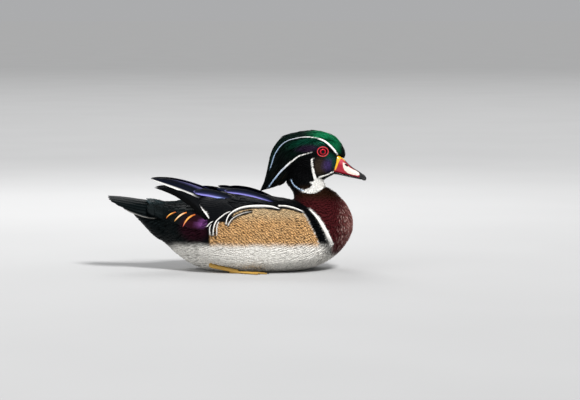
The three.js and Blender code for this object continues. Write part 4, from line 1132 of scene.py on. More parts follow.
def laid(surface, root, tip, rise, along):
    """Centre lines and normals over a surface, from roots to tips given as x and angle."""
    root, tip, rise = (np.asarray(a, float) for a in (root, tip, rise))
    at = root[:, None] + (tip - root)[:, None] * along[None, :, None]
    height = rise[:, :1] + (rise[:, 1:] - rise[:, :1]) * along[None]
    x, angle = at[..., 0], at[..., 1]
    centre = surface(x, angle, height)
    along_x = surface(x + 1, angle, height) - surface(x - 1, angle, height)
    around = surface(x, angle + 1, height) - surface(x, angle - 1, height)
    normal = unit(np.cross(around, along_x))
    outward = surface(x, angle, height + 1) - centre
    normal *= np.sign((normal * outward).sum(-1, keepdims=True))
    return centre, normal


def angle_at(x, w, height=0.0):
    """Angle on the trunk of the place that the side view shows at x and height w."""
    x, w = np.asarray(x, float), np.asarray(w, float)
    low, high = 0 * x, 0 * x + 150.0
    for _ in range(30):
        middle = (low + high) / 2
        place = trunk_point(x, middle, height)
        above = seen_height(place) > w
        low, high = np.where(above, middle, low), np.where(above, high, middle)
    return (low + high) / 2


def spots(rows, height=0.0):
    """Side-view places as x and angle on the trunk."""
    rows = np.array(rows, float)
    return np.stack([rows[:, 0], angle_at(rows[:, 0], rows[:, 1], height)], -1)


def plain_ink(vanes, ink, gloss, vary=0.12, seed=3):
    """One ink for a set of vanes, a little different from feather to feather."""
    draw = np.random.default_rng(seed)
    count, each = vanes["s"].shape
    tone = draw.uniform(1 - vary, 1 + vary, (count, 1, 1))
    return (np.broadcast_to(ink, (count, each, 3)) * tone, np.full((count, each), gloss),
            np.zeros((count, each)))


def smooth_path(rows, count=80):
    """Side-view path through a marking's places, evenly stepped and rounded at its corners."""
    reach = run(rows)
    even = np.linspace(0, reach[-1], count)
    return even, rounded(read_off(even, reach, rows), 12)


def rounded(path, times):
    """Path with its corners rounded off."""
    path = path.copy()
    for _ in range(times):
        path[1:-1] = (path[:-2] + 2 * path[1:-1] + path[2:]) / 4
    return path


def on_trunk(path):
    """Places and normals on the trunk that the side view shows along a path."""
    x = path[:, 0]
    angle = angle_at(x, path[:, 1], 4.0)
    place = trunk_point(x, angle, 0.0)
    return place, trunk_point(x, angle, 1.0) - place


def coat_trees(*names):
    """Search trees of finished coat pieces, in millimetres."""
    trees = []
    for piece in PIECES:
        if piece.name in names:
            corners = np.empty(len(piece.data.loops), np.int32)
            piece.data.loops.foreach_get("vertex_index", corners)
            trees.append(BVHTree.FromPolygons((vertex_rows(piece, "co") / MM).tolist(),
                                              corners.reshape(-1, 3).tolist()))
    return trees


head_trees = coat_trees("coat_face", "coat_nape", "crest_locks")


def on_head(path):
    """Places and normals on the head's coat that the side view shows along a path."""
    y = np.full(len(path), -18.0)
    for _ in range(2):
        for i, (x, w) in enumerate(path):
            start = Vector((x, -60, w + SIGHT * abs(y[i])))
            hits = [tree.ray_cast(start, Vector((0, 1, 0)))[0] for tree in head_trees]
            hits = [hit.y for hit in hits if hit is not None and hit.y < 0]
            if hits:
                y[i] = min(hits)
    y = rounded(y[:, None], 20)[:, 0]
    place = np.stack([path[:, 0], y, path[:, 1] + SIGHT * np.abs(y)], -1)
    return place, rounded(on_skin(place)[1], 20)


def line_feathers(rows, halves, low, high, length=9.0, step=1.9, inks=("white", "white"),
                  over=on_trunk):
    """Feathers one behind the other along a pale marking, each as wide as the marking there."""
    even, path = smooth_path(rows)
    place, normal = over(path)
    start = np.arange(0, max(even[-1] - 0.5 * length, step), step)
    reach = np.minimum(length, even[-1] - start)
    at = start[:, None] + reach[:, None] * SHORT_S
    spot, normal = read_off(at, even, place), read_off(at, even, normal)
    centre = spot + unit(normal) * (low + (high - low) * SHORT_S)[None, :, None]
    wide = np.interp(start + 0.45 * length, np.linspace(0, even[-1], len(halves)), halves)
    vanes = vane_set(centre, normal, wide, BLUNT, SHORT_U, SHORT_S, camber=0.15, thick=0.24, ridge=0.04)
    colour = mix(INK[inks[0]], INK[inks[1]], fade(0.3, 0.8, start / even[-1])[:, None])
    vanes["ink"] = plain_ink(vanes, colour, 0.0, vary=0.05)
    return vanes


# Wing coverts: rows of dark feathers over the back and side of the trunk, lifted at the side.
COVERT = {"rows": np.arange(54, -22, -7.5), "first": 9, "apart": 9.0, "long": 27, "half": 8.2}
WING_EDGE = FLANK_TOP_REAR + FLANK_TOP_FRONT
covert_root, covert_tip, covert_rise = [], [], []
for row, x in enumerate(COVERT["rows"]):
    low = float(angle_at(x - 20, line_height(x - 20, WING_EDGE) + 2.5))
    first = COVERT["first"] + 0.5 * COVERT["apart"] * (row % 2)
    for angle in np.arange(first, low - 6, COVERT["apart"]):
        lift = fade(44, 12, x) * fade(4, 20, low - angle)
        covert_root.append([x + chance.normal(0, 0.8), angle])
        covert_tip.append([x - COVERT["long"] + chance.normal(0, 1), angle + chance.normal(0.5, 0.7)])
        covert_rise.append([0.1 + 1.0 * lift, 1.3 + 2.7 * lift])
centre, normal = laid(trunk_point, covert_root, covert_tip, covert_rise, SHORT_S)
coverts = vane_set(centre, normal, COVERT["half"], BLUNT, SHORT_U, SHORT_S, camber=0.9)
coverts["ink"] = plain_ink(coverts, INK["mantle"], 0.2, vary=0.2)

# Secondaries: the dark panel of the folded wing, each with a white rim at its tip.
SECONDARIES = {"count": 13, "long": 46.0, "half": 7.0, "root_turn": (42, 62),
               "root_rise": (3.4, 1.2), "tip_rise": (9.0, 6.0)}
share = np.linspace(0.04, 0.98, SECONDARIES["count"])
reach = run(CRESCENT)
edge_points = spots(read_off(share * reach[-1], reach, CRESCENT), 3.0)
root_points = edge_points + np.array([[SECONDARIES["long"], 0]])
root_points[:, 1] = np.linspace(*SECONDARIES["root_turn"], len(share))
panel_rise = np.stack([np.linspace(*SECONDARIES[end], len(share)) for end in ("root_rise", "tip_rise")], -1)
centre, normal = laid(trunk_point, root_points, edge_points, panel_rise, VANE_S)
panel = vane_set(centre, normal, SECONDARIES["half"], BLUNT, VANE_U, VANE_S, camber=0.9)
ink, gloss, fine = plain_ink(panel, INK["mantle"], 0.25, vary=0.1)
place = panel["points"].reshape(-1, 3)
rim = stroke(place[:, 0], seen_height(place), CRESCENT, [0.5, 0.6, 0.7, 1.0, 1.9, 2.7, 1.3])
rim = rim.reshape(gloss.shape)
panel["ink"] = (mix(ink, INK["white"], rim), gloss * (1 - rim), fine)


def through(path, steps):
    """Quadratic path through three places, at shares of its way."""
    a, b, c = (np.array(place, float) for place in path)
    t = np.asarray(steps)[:, None]
    return a * (1 - t) * (1 - 2 * t) + b * 4 * t * (1 - t) + c * t * (2 * t - 1)


def rolled(centre, roll):
    """Normals of a vane on a path; a roll of 0 lies level, 90 stands on edge facing right."""
    lie = unit(np.gradient(centre, axis=0))
    up = unit(np.array([0, 0, 1.0]) - lie * lie[:, 2:])
    out = np.cross(lie, up)
    out *= np.sign(-out[:, 1:2])
    turn = math.radians(roll)
    return up * math.cos(turn) + out * math.sin(turn)


# Blue scapulars over the top of the wing, their lower edges lilac to sky blue.
SCAPULARS = [
    {"path": [(38, -31, 91), (4, -31.5, 102.6), (-26, -29, 104.8)], "half": 4.6, "roll": 52,
     "edge": "lilac"},
    {"path": [(10, -25, 94), (-14, -25, 104), (-36, -23, 107.6)], "half": 4.2, "roll": 40,
     "edge": None},
    {"path": [(-6, -35, 91), (-38, -34, 101.6), (-66, -29, 103.8)], "half": 6.0, "roll": 50,
     "edge": "sky"},
]


def scapular(row, seed):
    """One blue scapular, darker towards its upper edge."""
    centre = through(row["path"], VANE_S)
    normal = rolled(centre, row["roll"])
    vane = vane_set(centre[None], normal[None], row["half"], BLUNT, VANE_U, VANE_S, 0.9)
    u, s = vane["u"], vane["s"]
    ink, gloss, fine = plain_ink(vane, INK["slate_blue"] * 0.55, 0.25, seed=seed)
    ink = mix(ink, INK["mantle"], fade(0.3, -0.5, u) * 0.85)
    if row["edge"]:
        line = fade(0.64, 0.78, u) * fade(0.0, 0.2, s) * fade(0.99, 0.9, s)
        ink = mix(ink, mix(INK["lilac"], INK[row["edge"]], fade(0.6, 0.1, s)), line)
        ink = mix(ink, INK["lilac"] * 0.28, 0.7 * fade(0.2, 0.8, u) * (1 - line))
        ink = mix(ink, INK["lilac"] * 0.4, fade(0.955, 0.985, s))
    vane["ink"] = (ink, gloss, fine)
    return vane


scapulars = [scapular(row, seed) for seed, row in enumerate(SCAPULARS)]
vane_piece("wing_coverts", [coverts, panel] + scapulars, ["wing_right", "wing_left"])

# Primaries, in a lower and an upper sheaf of five quills each, every quill a layer further in;
# the first quill of the upper sheaf has a white outer edge.
LOW_ROOT = trunk_point(*spots([(-46, 65.4)], 1.2)[0], 1.2)
PRIMARIES = [
    # The lower sheaf is inked at half of black, darker than the upper: painted shade on quills seen from
    # below, turned away from the light.
    {"path": [tuple(LOW_ROOT), (-79, -31.5, 98.6), (-117, -12, 107.6)], "half": 6.2, "roll": 56,
     "tips": [1, 0.93, 0.86, 0.79, 0.72], "ink": INK["black"] * 0.5, "white_edge": False},
    {"path": [(-38, -31, 92), (-80, -23, 110), (-122, -8, 119.4)], "half": 7.6, "roll": 54,
     "tips": [1, 0.95, 0.89, 0.82, 0.74], "ink": INK["slate_blue"] * 0.36, "white_edge": True},
]
QUILL_LAYER = 0.9


def sheaf(row):
    """The quills of one sheaf, fanned a little at their roots."""
    centres, normals = [], []
    for k, reach in enumerate(row["tips"]):
        centre = through(row["path"], VANE_S * reach)
        normal = rolled(centre, row["roll"])
        fall = np.cross(normal, unit(np.gradient(centre, axis=0)))
        fall *= np.sign(-fall[:, 2:])
        fan = (k * (1.1 - 0.7 * VANE_S))[:, None]
        centres.append(centre - normal * (k * QUILL_LAYER) - fall * fan)
        normals.append(normal)
    vanes = vane_set(np.array(centres), np.array(normals), row["half"], POINTED, VANE_U, VANE_S, 1.2)
    u, s = vanes["u"], vanes["s"]
    ink, gloss, fine = plain_ink(vanes, row["ink"], 0.2)
    ink = mix(ink, INK["mantle"], 0.75 * fade(0.35, -0.4, u))
    if row["white_edge"]:
        first = np.zeros(s.shape)
        first[0] = 1
        line = fade(0.62, 0.74, u) * fade(0.22, 0.34, s) * fade(0.995, 0.96, s)
        ink = mix(ink, INK["white"], line * first)
        blue_edge = fade(-0.7, -0.95, u) * fade(0.75, 0.4, s)
        ink = mix(ink, INK["lilac"] * 0.25, blue_edge)
    vanes["ink"] = (ink, gloss, fine)
    return vanes


quills = [sheaf(row) for row in PRIMARIES]
vane_piece("primaries", quills, ["primaries_right", "primaries_left"])

def tail_surface(x, angle, height):
    """Arch of the folded tail, raised by a height."""
    return tail_point(x, angle, -height)


def tail_side(side):
    """Tail feathers of one side, each pair a layer under the last; the outermost is pale-edged."""
    pair = np.arange(len(TAIL["shorter"]))
    roots = np.stack([TAIL["root"] + 0 * pair, side * (TAIL["first_turn"] + TAIL["root_turn"] * pair)], -1)
    tips = np.stack([TAIL["tip"] + np.array(TAIL["shorter"]),
                     side * (TAIL["first_turn"] + TAIL["tip_turn"] * pair)], -1)
    under = -TAIL["layer"] * np.stack([pair, pair], -1)
    centre, normal = laid(tail_surface, roots, tips, under, VANE_S)
    vanes = vane_set(centre, normal, TAIL["half"], BLUNT, VANE_U, VANE_S, camber=1.5)
    out, s = side * vanes["u"], vanes["s"]
    ink, gloss, fine = plain_ink(vanes, INK["teal"] * 0.07, 0.22)
    outer = np.zeros(s.shape)
    outer[-1] = fade(0.86, 0.95, out[-1]) * fade(0.99, 0.9, s[-1])
    ink = mix(ink, INK["down"] * 0.3, outer)
    ink = mix(ink, INK["teal"], fade(-0.5, -0.95, out) * fade(0.2, 0.5, s) * 0.35)
    vanes["ink"] = (ink, gloss, fine)
    return vanes


vane_piece("tail_feathers", [tail_side(1), tail_side(-1)], ["tail"], both=False)


def rump_point(x, angle, height=0.0):
    """Surface that runs from the trunk's rear on to the tail's arch."""
    on_body = trunk_point(np.maximum(x, -110), angle, height)
    on_tail = tail_point(x, angle, -np.asarray(height))
    place = mix(on_body, on_tail, fade(-90, -118, x))
    return np.stack([np.broadcast_to(x, place[..., 0].shape), place[..., 1], place[..., 2]], -1)


# Coverts of the rump: rows that narrow towards the tail, in the markings' colours, which paint a glint along
# the rump's top.
RUMP_COVERT = {"rows": np.arange(-50, -106, -7.0), "apart": 9.5, "long": 27, "half": 6.2,
               "rise": [0.2, 2.6]}
rump_root, rump_tip = [], []
for row, x in enumerate(RUMP_COVERT["rows"]):
    wide = np.interp(x, [-106, -50], [62, 82])
    for angle in np.arange(-wide + 4 * (row % 2), wide + 1, RUMP_COVERT["apart"]):
        rump_root.append([x + chance.normal(0, 1), angle])
        rump_tip.append([x - RUMP_COVERT["long"] + chance.normal(0, 2), angle * 0.97 + chance.normal(0, 1)])
rump_rise = [RUMP_COVERT["rise"]] * len(rump_root)
centre, normal = laid(rump_point, rump_root, rump_tip, rump_rise, SHORT_S)
rump = vane_set(centre, normal, RUMP_COVERT["half"], BLUNT, SHORT_U, SHORT_S, camber=0.8)
ink, gloss, fine = plumage(rump["points"].reshape(-1, 3))
shape = rump["s"].shape
ink = ink.reshape(*shape, 3) * chance.uniform(0.75, 1.35, (shape[0], 1, 1))
rump["ink"] = (ink, gloss.reshape(shape), fine.reshape(shape))
vane_piece("rump_coverts", [rump], ["rump"], both=False)

# Golden plumes over the rump's sides, rust or orange at the root and along the edges.
PLUMES = [
    {"path": PLUME_REAR, "half": 0.95, "inks": ("rust", "gold", "rust")},
    {"path": PLUME_MIDDLE, "half": 1.2, "inks": ("orange", "cream", "gold")},
    {"path": PLUME_FRONT, "half": 1.25, "inks": ("rust", "gold", "blush")},
]
gold = []
for row in PLUMES:
    ends = spots(row["path"])
    at = through([(x, a, 0) for x, a in ends], VANE_S)
    height = 2.8 + 1.2 * VANE_S
    centre = trunk_point(at[:, 0], at[:, 1], height)
    normal = trunk_point(at[:, 0], at[:, 1], height + 1) - centre
    vane = vane_set(centre[None], normal[None], row["half"], POINTED, VANE_U, VANE_S, 0.3)
    first, middle, last = (INK[name] for name in row["inks"])
    s = vane["s"]
    ink = mix(mix(first, middle, fade(0, 0.45, s)), last, fade(0.6, 1, s))
    ink = mix(ink, INK["orange"], fade(0.5, 0.9, np.abs(vane["u"])) * 0.8)
    vane["ink"] = (ink, 0 * s, 0 * s)
    gold.append(vane)
vane_piece("golden_plumes", gold, ["plume_right", "plume_left"])

# White edges over the flank and the bar before it, as rows of feathers: path and half widths.
BARS = [
    (FLANK_TOP_FRONT[::-1], [0.5, 1.1, 1.2, 0.6]),
    (FLANK_MAIN, [0.7, 1.4, 1.6, 1.6, 1.5, 1.3, 1.1, 0.9, 0.7, 0.4]),
    (FLANK_SECOND, [0.3, 0.7, 0.8, 0.8, 0.7, 0.6, 0.4]), (FLANK_THIRD, [0.3, 0.65, 0.5]),
    (FLANK_INNER, [0.08, 0.24, 0.36, 0.45, 0.45, 0.3]), (FLANK_REAR, [0.3, 0.5, 0.5, 0.3]),
    (FLANK_LAST, [0.3, 0.5, 0.5, 0.3]),
]
flank_bars = [line_feathers(rows, halves, 3.9, 6.0) for rows, halves in BARS]
vane_piece("flank_bars", flank_bars, ["flank_right", "flank_left"])
breast_bar = line_feathers(BREAST_BAR[::-1], [2.3, 2.5, 2.4, 2.2, 1.8, 1.1, 0.4], 1.4, 3.0)
vane_piece("breast_bar", [breast_bar], ["torso"])

# White lines of the head, as rows of small feathers on its coat: path, half widths, first and
# last ink.
THROAT_EDGE = NAPE_LINE[::-1] + THROAT_LOW
HEAD_LINES = [
    (BROW_LINE, [1.5, 1.5, 1.2, 0.65, 0.45, 0.6, 0.8, 0.6], "white", "ice"),
    (CREST_LINE, [0.4, 0.95, 1.3, 1.35, 1.2, 0.8], "white", "ice"),
    (CHEEK_BAR, [1.2, 2.0, 2.0, 2.2], "white", "white"),
    (CHIN_STRAP, [2.0, 1.2, 1.2, 1.6], "white", "white"),
    (THROAT_EDGE, [0.7, 1.0, 1.2, 1.5, 1.5], "ice", "white"),
    (THROAT_FRONT, [1.1, 1.4], "white", "white"),
]
head_lines = [line_feathers(rows, halves, -0.15, 0.35, 4.6, 1.05, inks, on_head)
              for rows, halves, *inks in HEAD_LINES]
vane_piece("head_lines", head_lines, ["head", "crest"])


def node(tree, kind, links=None, **settings):
    """Adds a node with settings, and a value or a link for each socket named.

    A shader or geometry node's kind is given without its prefix, and a node given for a
    socket is linked from its first output.
    """
    prefix = "" if kind.startswith("NodeGroup") else tree.bl_idname.replace("Tree", "")
    made = tree.nodes.new(prefix + kind)
    for key, value in settings.items():
        setattr(made, key, value)
    for socket, value in (links or {}).items():
        if isinstance(value, bpy.types.Node):
            value = value.outputs[0]
        if isinstance(value, bpy.types.NodeSocket):
            tree.links.new(value, made.inputs[socket])
        else:
            made.inputs[socket].default_value = value
    return made


def material(name):
    """Empty material with its tree."""
    made = bpy.data.materials.new(name)
    made.use_nodes = True
    tree = made.node_tree
    tree.nodes.clear()
    return made, tree


# Feathers are keratin barbs laid side by side and hooked together. Barbs stand about 0.3 mm
# apart, too fine to show, so they are drawn 0.9 mm apart. They fray into clumps about 1.1 mm
# wide, which mottle the colour. The dark wavy lines of the flank stand about 1 mm apart on a
# live bird, too fine to show, so they are drawn 3.2 mm apart. Ridges stand 0.3 mm high.
BARB_PITCH, BARB_CLUMP, BARRING_PITCH, RIDGE = 0.9, 1.11, 3.22, 0.3
# Grain of horn, of the eyelid's beaded skin and of the foot's small scales.
HORN_GRAIN, LID_GRAIN, SCALE_GRAIN = 2.0, 0.667, 1.11
# A wave texture's bands repeat after this much of its scaled coordinates, along X plus Z.
WAVE_REPEAT = 2 * math.pi / 10


def feathers(name, matt=0.62, glossy=0.34, barbs=1.0, mottle=(0.8, 1.18), barring=False):
    """Painted feathers: the marking's ink, mottled by frayed barbs, with ridges along them.

    The ink's alpha says how glossy and metallic the feather is. Keratin's refractive index is
    close to the default 1.5, but its barbs scatter nearly all of the clear reflection.
    """
    made, tree = material(name)
    ink = node(tree, "VertexColor", layer_name="plumage")
    place = node(tree, "TexCoord").outputs["Object"]
    clumps = node(tree, "TexNoise", {"Vector": place, "Scale": 1 / (BARB_CLUMP * MM), "Detail": 3.0})
    tone = node(tree, "MapRange", {
        "Value": clumps, "From Min": 0.3, "From Max": 0.7, "To Min": mottle[0],
        "To Max": mottle[1]})
    if barring:
        share = node(tree, "Attribute", attribute_name="barring")
        scale = WAVE_REPEAT / (math.sqrt(2) * BARRING_PITCH * MM)
        lines = node(tree, "TexWave", {
            "Vector": place, "Scale": scale, "Distortion": 8.0, "Detail": 3.0, "Detail Scale": 2.0},
            bands_direction="DIAGONAL")
        dark = node(tree, "MapRange", {
            "Value": lines.outputs["Fac"], "From Min": 0.15, "From Max": 0.6, "To Min": 0.34,
            "To Max": 1.2})
        barred = node(tree, "MapRange", {
            "Value": share.outputs["Fac"], "To Min": 1.0, "To Max": dark})
        tone = node(tree, "Math", {0: tone, 1: barred}, operation="MULTIPLY")
    colour = node(tree, "VectorMath", {0: ink, "Scale": tone}, operation="SCALE")
    vane = node(tree, "UVMap", uv_map="vane")
    parts = node(tree, "SeparateXYZ", {"Vector": vane})
    across = node(tree, "Math", {0: parts.outputs["X"]}, operation="ABSOLUTE")
    slant = node(tree, "Math", {0: parts.outputs["Y"], 1: across}, operation="SUBTRACT")
    phase = node(tree, "Math", {0: slant, 1: 2 * math.pi / BARB_PITCH}, operation="MULTIPLY")
    barb = node(tree, "Math", {0: phase}, operation="SINE")
    ridges = node(tree, "Bump", {
        "Height": barb, "Strength": 0.13 * barbs, "Distance": RIDGE * MM})
    metal = node(tree, "Math", {0: ink.outputs["Alpha"], 1: 0.6}, operation="MULTIPLY")
    rough = node(tree, "MapRange", {
        "Value": ink.outputs["Alpha"], "To Min": matt, "To Max": glossy})
    shader = node(tree, "BsdfPrincipled", {
        "Base Color": colour, "Metallic": metal, "Roughness": rough,
        "Specular IOR Level": 0.05, "Normal": ridges})
    node(tree, "OutputMaterial", {"Surface": shader})
    return made


def bare(name, rough, grain=HORN_GRAIN, spread=0.15, relief=0.2, coat=0.0, specular=0.5):
    """Horn, skin or glass: painted ink with a little mottling and relief of its own grain."""
    made, tree = material(name)
    ink = node(tree, "VertexColor", layer_name="plumage")
    place = node(tree, "TexCoord").outputs["Object"]
    noise = node(tree, "TexNoise", {"Vector": place, "Scale": 1 / (grain * MM), "Detail": 4.0})
    tone = node(tree, "MapRange", {
        "Value": noise, "From Min": 0.3, "From Max": 0.7, "To Min": 1 - spread,
        "To Max": 1 + spread})
    colour = node(tree, "VectorMath", {0: ink, "Scale": tone}, operation="SCALE")
    raised = node(tree, "Bump", {
        "Height": noise, "Strength": relief, "Distance": RIDGE * MM})
    shader = node(tree, "BsdfPrincipled", {
        "Base Color": colour, "Roughness": rough, "Coat Weight": coat,
        "Coat Roughness": 0.05, "Specular IOR Level": specular, "Normal": raised})
    node(tree, "OutputMaterial", {"Surface": shader})
    return made


LOOKS = {
    # Body feathers with loose ends: soft colour and hardly a highlight.
    "coat": feathers("feathers_matt"),
    # Head feathers, whose flat barbs mirror green and purple: a silky metallic sheen.
    "metal": feathers("feathers_metallic", matt=0.6, glossy=0.3),
    # Flank feathers, grown with fine wavy dark lines: a warm grain over tan.
    "flank": feathers("feathers_vermiculated", mottle=(0.66, 1.32), barring=True),
    # Wing and tail feathers with tightly hooked barbs: a satin gloss with clear ridges.
    "wing": feathers("feathers_wing", matt=0.5, glossy=0.36, barbs=1.6),
    # Plumes of long parallel barbs: a little smoother than the body's feathers.
    "plume": feathers("feathers_golden", matt=0.45),
    # Horn sheath of the bill, smooth grown keratin kept oiled: a soft highlight under a thin film.
    "horn": bare("bill_horn", 0.28, coat=0.3),
    # Moulded and polished glass eye, painted from behind: small sharp reflections over deep colour.
    "eye": bare("eye_glass", 0.08, spread=0.05, relief=0.0, specular=0.2),
    # Naked skin of the eyelid, finely beaded: dull, with a fleshy glow.
    "lid": bare("eyelid_skin", 0.4, grain=LID_GRAIN),
    # Dry skin of leg and foot, covered in small scales: rough, with a broken edge to its highlight.
    "foot": bare("foot_skin", 0.5, grain=SCALE_GRAIN, relief=0.6),
}


def sweep_tree():
    """Tree that sweeps a round section along paths, as thick as each of their points says."""
    tree = bpy.data.node_groups.new("limb_sweep", "GeometryNodeTree")
    sockets = {"Paths": "Geometry", "Section points": "Int", "Skin": "Material"}
    for label, kind in sockets.items():
        tree.interface.new_socket(label, in_out="INPUT", socket_type="NodeSocket" + kind)
    tree.interface.new_socket("Limbs", in_out="OUTPUT", socket_type="NodeSocketGeometry")
    given = node(tree, "NodeGroupInput").outputs
    path = node(tree, "MeshToCurve", {"Mesh": given["Paths"]})
    thick = node(tree, "InputNamedAttribute", {"Name": "thick"}, data_type="FLOAT")
    section = node(tree, "CurvePrimitiveCircle", {"Resolution": given["Section points"], "Radius": 1.0})
    limb = node(tree, "CurveToMesh", {
        "Curve": path, "Profile Curve": section, "Scale": thick, "Fill Caps": True})
    real = node(tree, "RealizeInstances", {"Geometry": limb})
    skinned = node(tree, "SetMaterial", {"Geometry": real, "Material": given["Skin"]})
    node(tree, "NodeGroupOutput", {"Limbs": skinned})
    return tree


LIMB_SWEEP = sweep_tree()


def swept(paths, section, skin, closed=False):
    """Round limbs along paths, each given as its places and their radii."""
    places = np.concatenate([place for place, _ in paths]) * MM
    radii = np.concatenate([radius for _, radius in paths]) * MM
    edges, start = [], 0
    for place, _ in paths:
        edges += [(start + k, start + k + 1) for k in range(len(place) - 1)]
        start += len(place)
    if closed:
        edges.append((start - 1, 0))
    mesh = bpy.data.meshes.new("limb_paths")
    mesh.from_pydata(places.tolist(), edges, [])
    mesh.attributes.new("thick", "FLOAT", "POINT").data.foreach_set("value", radii.astype(np.float32))
    lines = linked("limb_paths", mesh)
    sweep = lines.modifiers.new("sweep", "NODES")
    sweep.node_group = LIMB_SWEEP
    given = {item.name: item.identifier for item in LIMB_SWEEP.interface.items_tree if item.in_out == "INPUT"}
    sweep[given["Section points"]] = section
    sweep[given["Skin"]] = skin
    limbs = finished(lines, "limbs")
    points = vertex_rows(limbs, "co").astype(float) / MM
    limbs.data.calc_loop_triangles()
    faces = np.array([tuple(t.vertices) for t in limbs.data.loop_triangles])
    bpy.data.objects.remove(limbs)
    return [points, facing_out(points, faces)]


def solid_piece(name, parts, ink, solid):
    """Smooth body from parts, in place of one solid; ink gives the colour at places."""
    points, faces = merge_parts(parts)
    colour, gloss = ink(points)
    piece = make_mesh(name, points, faces, colour, gloss, bake=unwrap(points), fine=0 * gloss)
    keep(piece, [solid])


BILL_RINGS, BILL_TURN = 230, np.arange(0, 360, 1.8)


def bill_half(rows, crown):
    """Upper or lower half of the bill; the upper has its nostrils pressed in."""
    at = bill_point(rows, crown)
    rings = np.stack([at(x, BILL_TURN) for x in np.linspace(rows[0][0], rows[-1][0], BILL_RINGS)])
    if crown > 0:
        slope = math.radians(-NOSTRIL["slope"])
        dx, dz = rings[..., 0] - NOSTRIL["x"], rings[..., 2] - NOSTRIL["z"]
        u = (dx * math.cos(slope) + dz * math.sin(slope)) / NOSTRIL["long"]
        v = (dz * math.cos(slope) - dx * math.sin(slope)) / NOSTRIL["high"]
        dent = fade(1.15, 0.6, np.hypot(u, v)) * (np.abs(rings[..., 1]) > 1)
        rings[..., 1] -= np.sign(rings[..., 1]) * dent * NOSTRIL["deep"]
    return tube(rings)


BILL_YELLOW = [(118.8, 151.8), (121.2, 143.2), (119.3, 135.6), (117, 129.7)]
BILL_CORNER = [
    (117.8, 154.4), (123.5, 152.3), (129.5, 147.3), (128.2, 145), (123.8, 144.2),
    (121.7, 140.3), (119.9, 135.4), (117.8, 130.2), (116.7, 130.2), (117, 136.2), (117, 145.2),
]
BILL_RIDGE = [(119.6, 151.2), (124.8, 146.8), (129.5, 142.1)]
BILL_IVORY = [
    (126.9, 139.3), (130.5, 138.2), (134.7, 133.6), (139.1, 130.9), (144.3, 128.6),
    (147.7, 126.3), (149, 123.2), (145.6, 122.4), (139.1, 123.7), (133.4, 125.5),
    (129.7, 128.6), (127.4, 132.8),
]
BILL_CULMEN = [(129.5, 142.9), (133.9, 138.5), (139.1, 133.6), (145.6, 129.7), (150, 127)]
BILL_EDGE = [(115.7, 126.8), (126.1, 124.2), (136.5, 121.6), (146.4, 119.2)]


def bill_colours(place):
    """Crimson bill with a yellow border, an ivory patch and a black ridge, edge and nail."""
    x, w = place[:, 0], seen_height(place)
    ink = np.tile(INK["crimson"], (len(x), 1))
    ink = mix(ink, INK["blush"], blob(x, w, *PATCH["bill_blush"]) * 0.5)
    ink = mix(ink, INK["ivory"], inside(x, w, BILL_IVORY, soft=0.4))
    ink = mix(ink, INK["yellow"], stroke(x, w, BILL_YELLOW, [1.0, 0.8, 0.7, 0.5]))
    ink = mix(ink, INK["yellow"], inside(x, w, BILL_CORNER, soft=0.4))
    ink = mix(ink, INK["yellow"], stroke(x, w, BILL_RIDGE, [1.2, 1.3, 0.8]))
    ink = mix(ink, INK["horn_black"], stroke(x, w, BILL_CULMEN, [0.5, 1.2, 1.4, 1.8]))
    ink = mix(ink, INK["horn_black"], stroke(x, w, BILL_EDGE, [0.4, 0.7, 0.9, 1.2]))
    ink = mix(ink, INK["horn_black"], fade(147.6, 149, x))
    hole = blob(x, w, (NOSTRIL["x"], NOSTRIL["z"] - 0.6), (NOSTRIL["long"], NOSTRIL["high"]),
                -NOSTRIL["slope"], 0.25)
    ink = mix(ink, INK["horn_black"], hole)
    return ink, 0 * x


def one_ink(name):
    """Inks of a piece with a single colour."""
    return lambda place: (np.tile(INK[name], (len(place), 1)), np.zeros(len(place)))


def ellipsoid(centre, radii, turn=0.0, steps=28):
    """Ball or egg; turn tips it down at its front, in degrees."""
    polar = np.linspace(0, np.pi, steps)[1:-1, None]
    around = np.linspace(0, 2 * np.pi, 2 * steps, endpoint=False)
    rings = np.stack([0 * around + np.cos(polar), np.sin(polar) * np.sin(around),
                      np.sin(polar) * np.cos(around)], -1) * radii
    c, s = math.cos(math.radians(turn)), math.sin(math.radians(turn))
    rings = np.stack([rings[..., 0] * c + rings[..., 2] * s, rings[..., 1],
                      rings[..., 2] * c - rings[..., 0] * s], -1)
    return tube(rings + np.array(centre))


NAIL_PLACE = (NAIL["x"], 0, NAIL["z"])
NAIL_RADII = (NAIL["length"], NAIL["half"], NAIL["height"])
solid_piece("bill_upper_horn", [bill_half(BILL_TOP, 1)], bill_colours, "bill_upper")
solid_piece("bill_lower_horn", [bill_half(BILL_LOW, -1)], one_ink("horn_black"),
            "bill_lower")
solid_piece("bill_nail_horn", [ellipsoid(NAIL_PLACE, NAIL_RADII, NAIL["drop"])],
            one_ink("horn_black"), "bill_nail")

# Eyes: polar grids whose axis is the line of sight, with pupil and iris as colours.
EYE_PLACE = np.array([EYE["x"], -EYE["y"], EYE["z"]])
EYE_TURN = math.radians(EYE["yaw"])
LOOK = np.array([math.sin(EYE_TURN), -math.cos(EYE_TURN), 0.0])
AHEAD = np.array([math.cos(EYE_TURN), math.sin(EYE_TURN), 0.0])
RISE = np.array([0.0, 0, 1.0])
PUPIL, IRIS = 2.5, 4.0


def eye_part():
    """Ball of the right eye, finest where it shows."""
    polar = np.concatenate([np.linspace(0.02, 1.2, 60), np.linspace(1.25, 3.1, 14)])
    turn = np.linspace(0, 2 * np.pi, 72, endpoint=False)
    around = np.cos(turn)[:, None] * AHEAD + np.sin(turn)[:, None] * RISE
    rings = np.stack([EYE["radius"] * (math.cos(p) * LOOK + math.sin(p) * around) for p in polar])
    return tube(rings + EYE_PLACE)


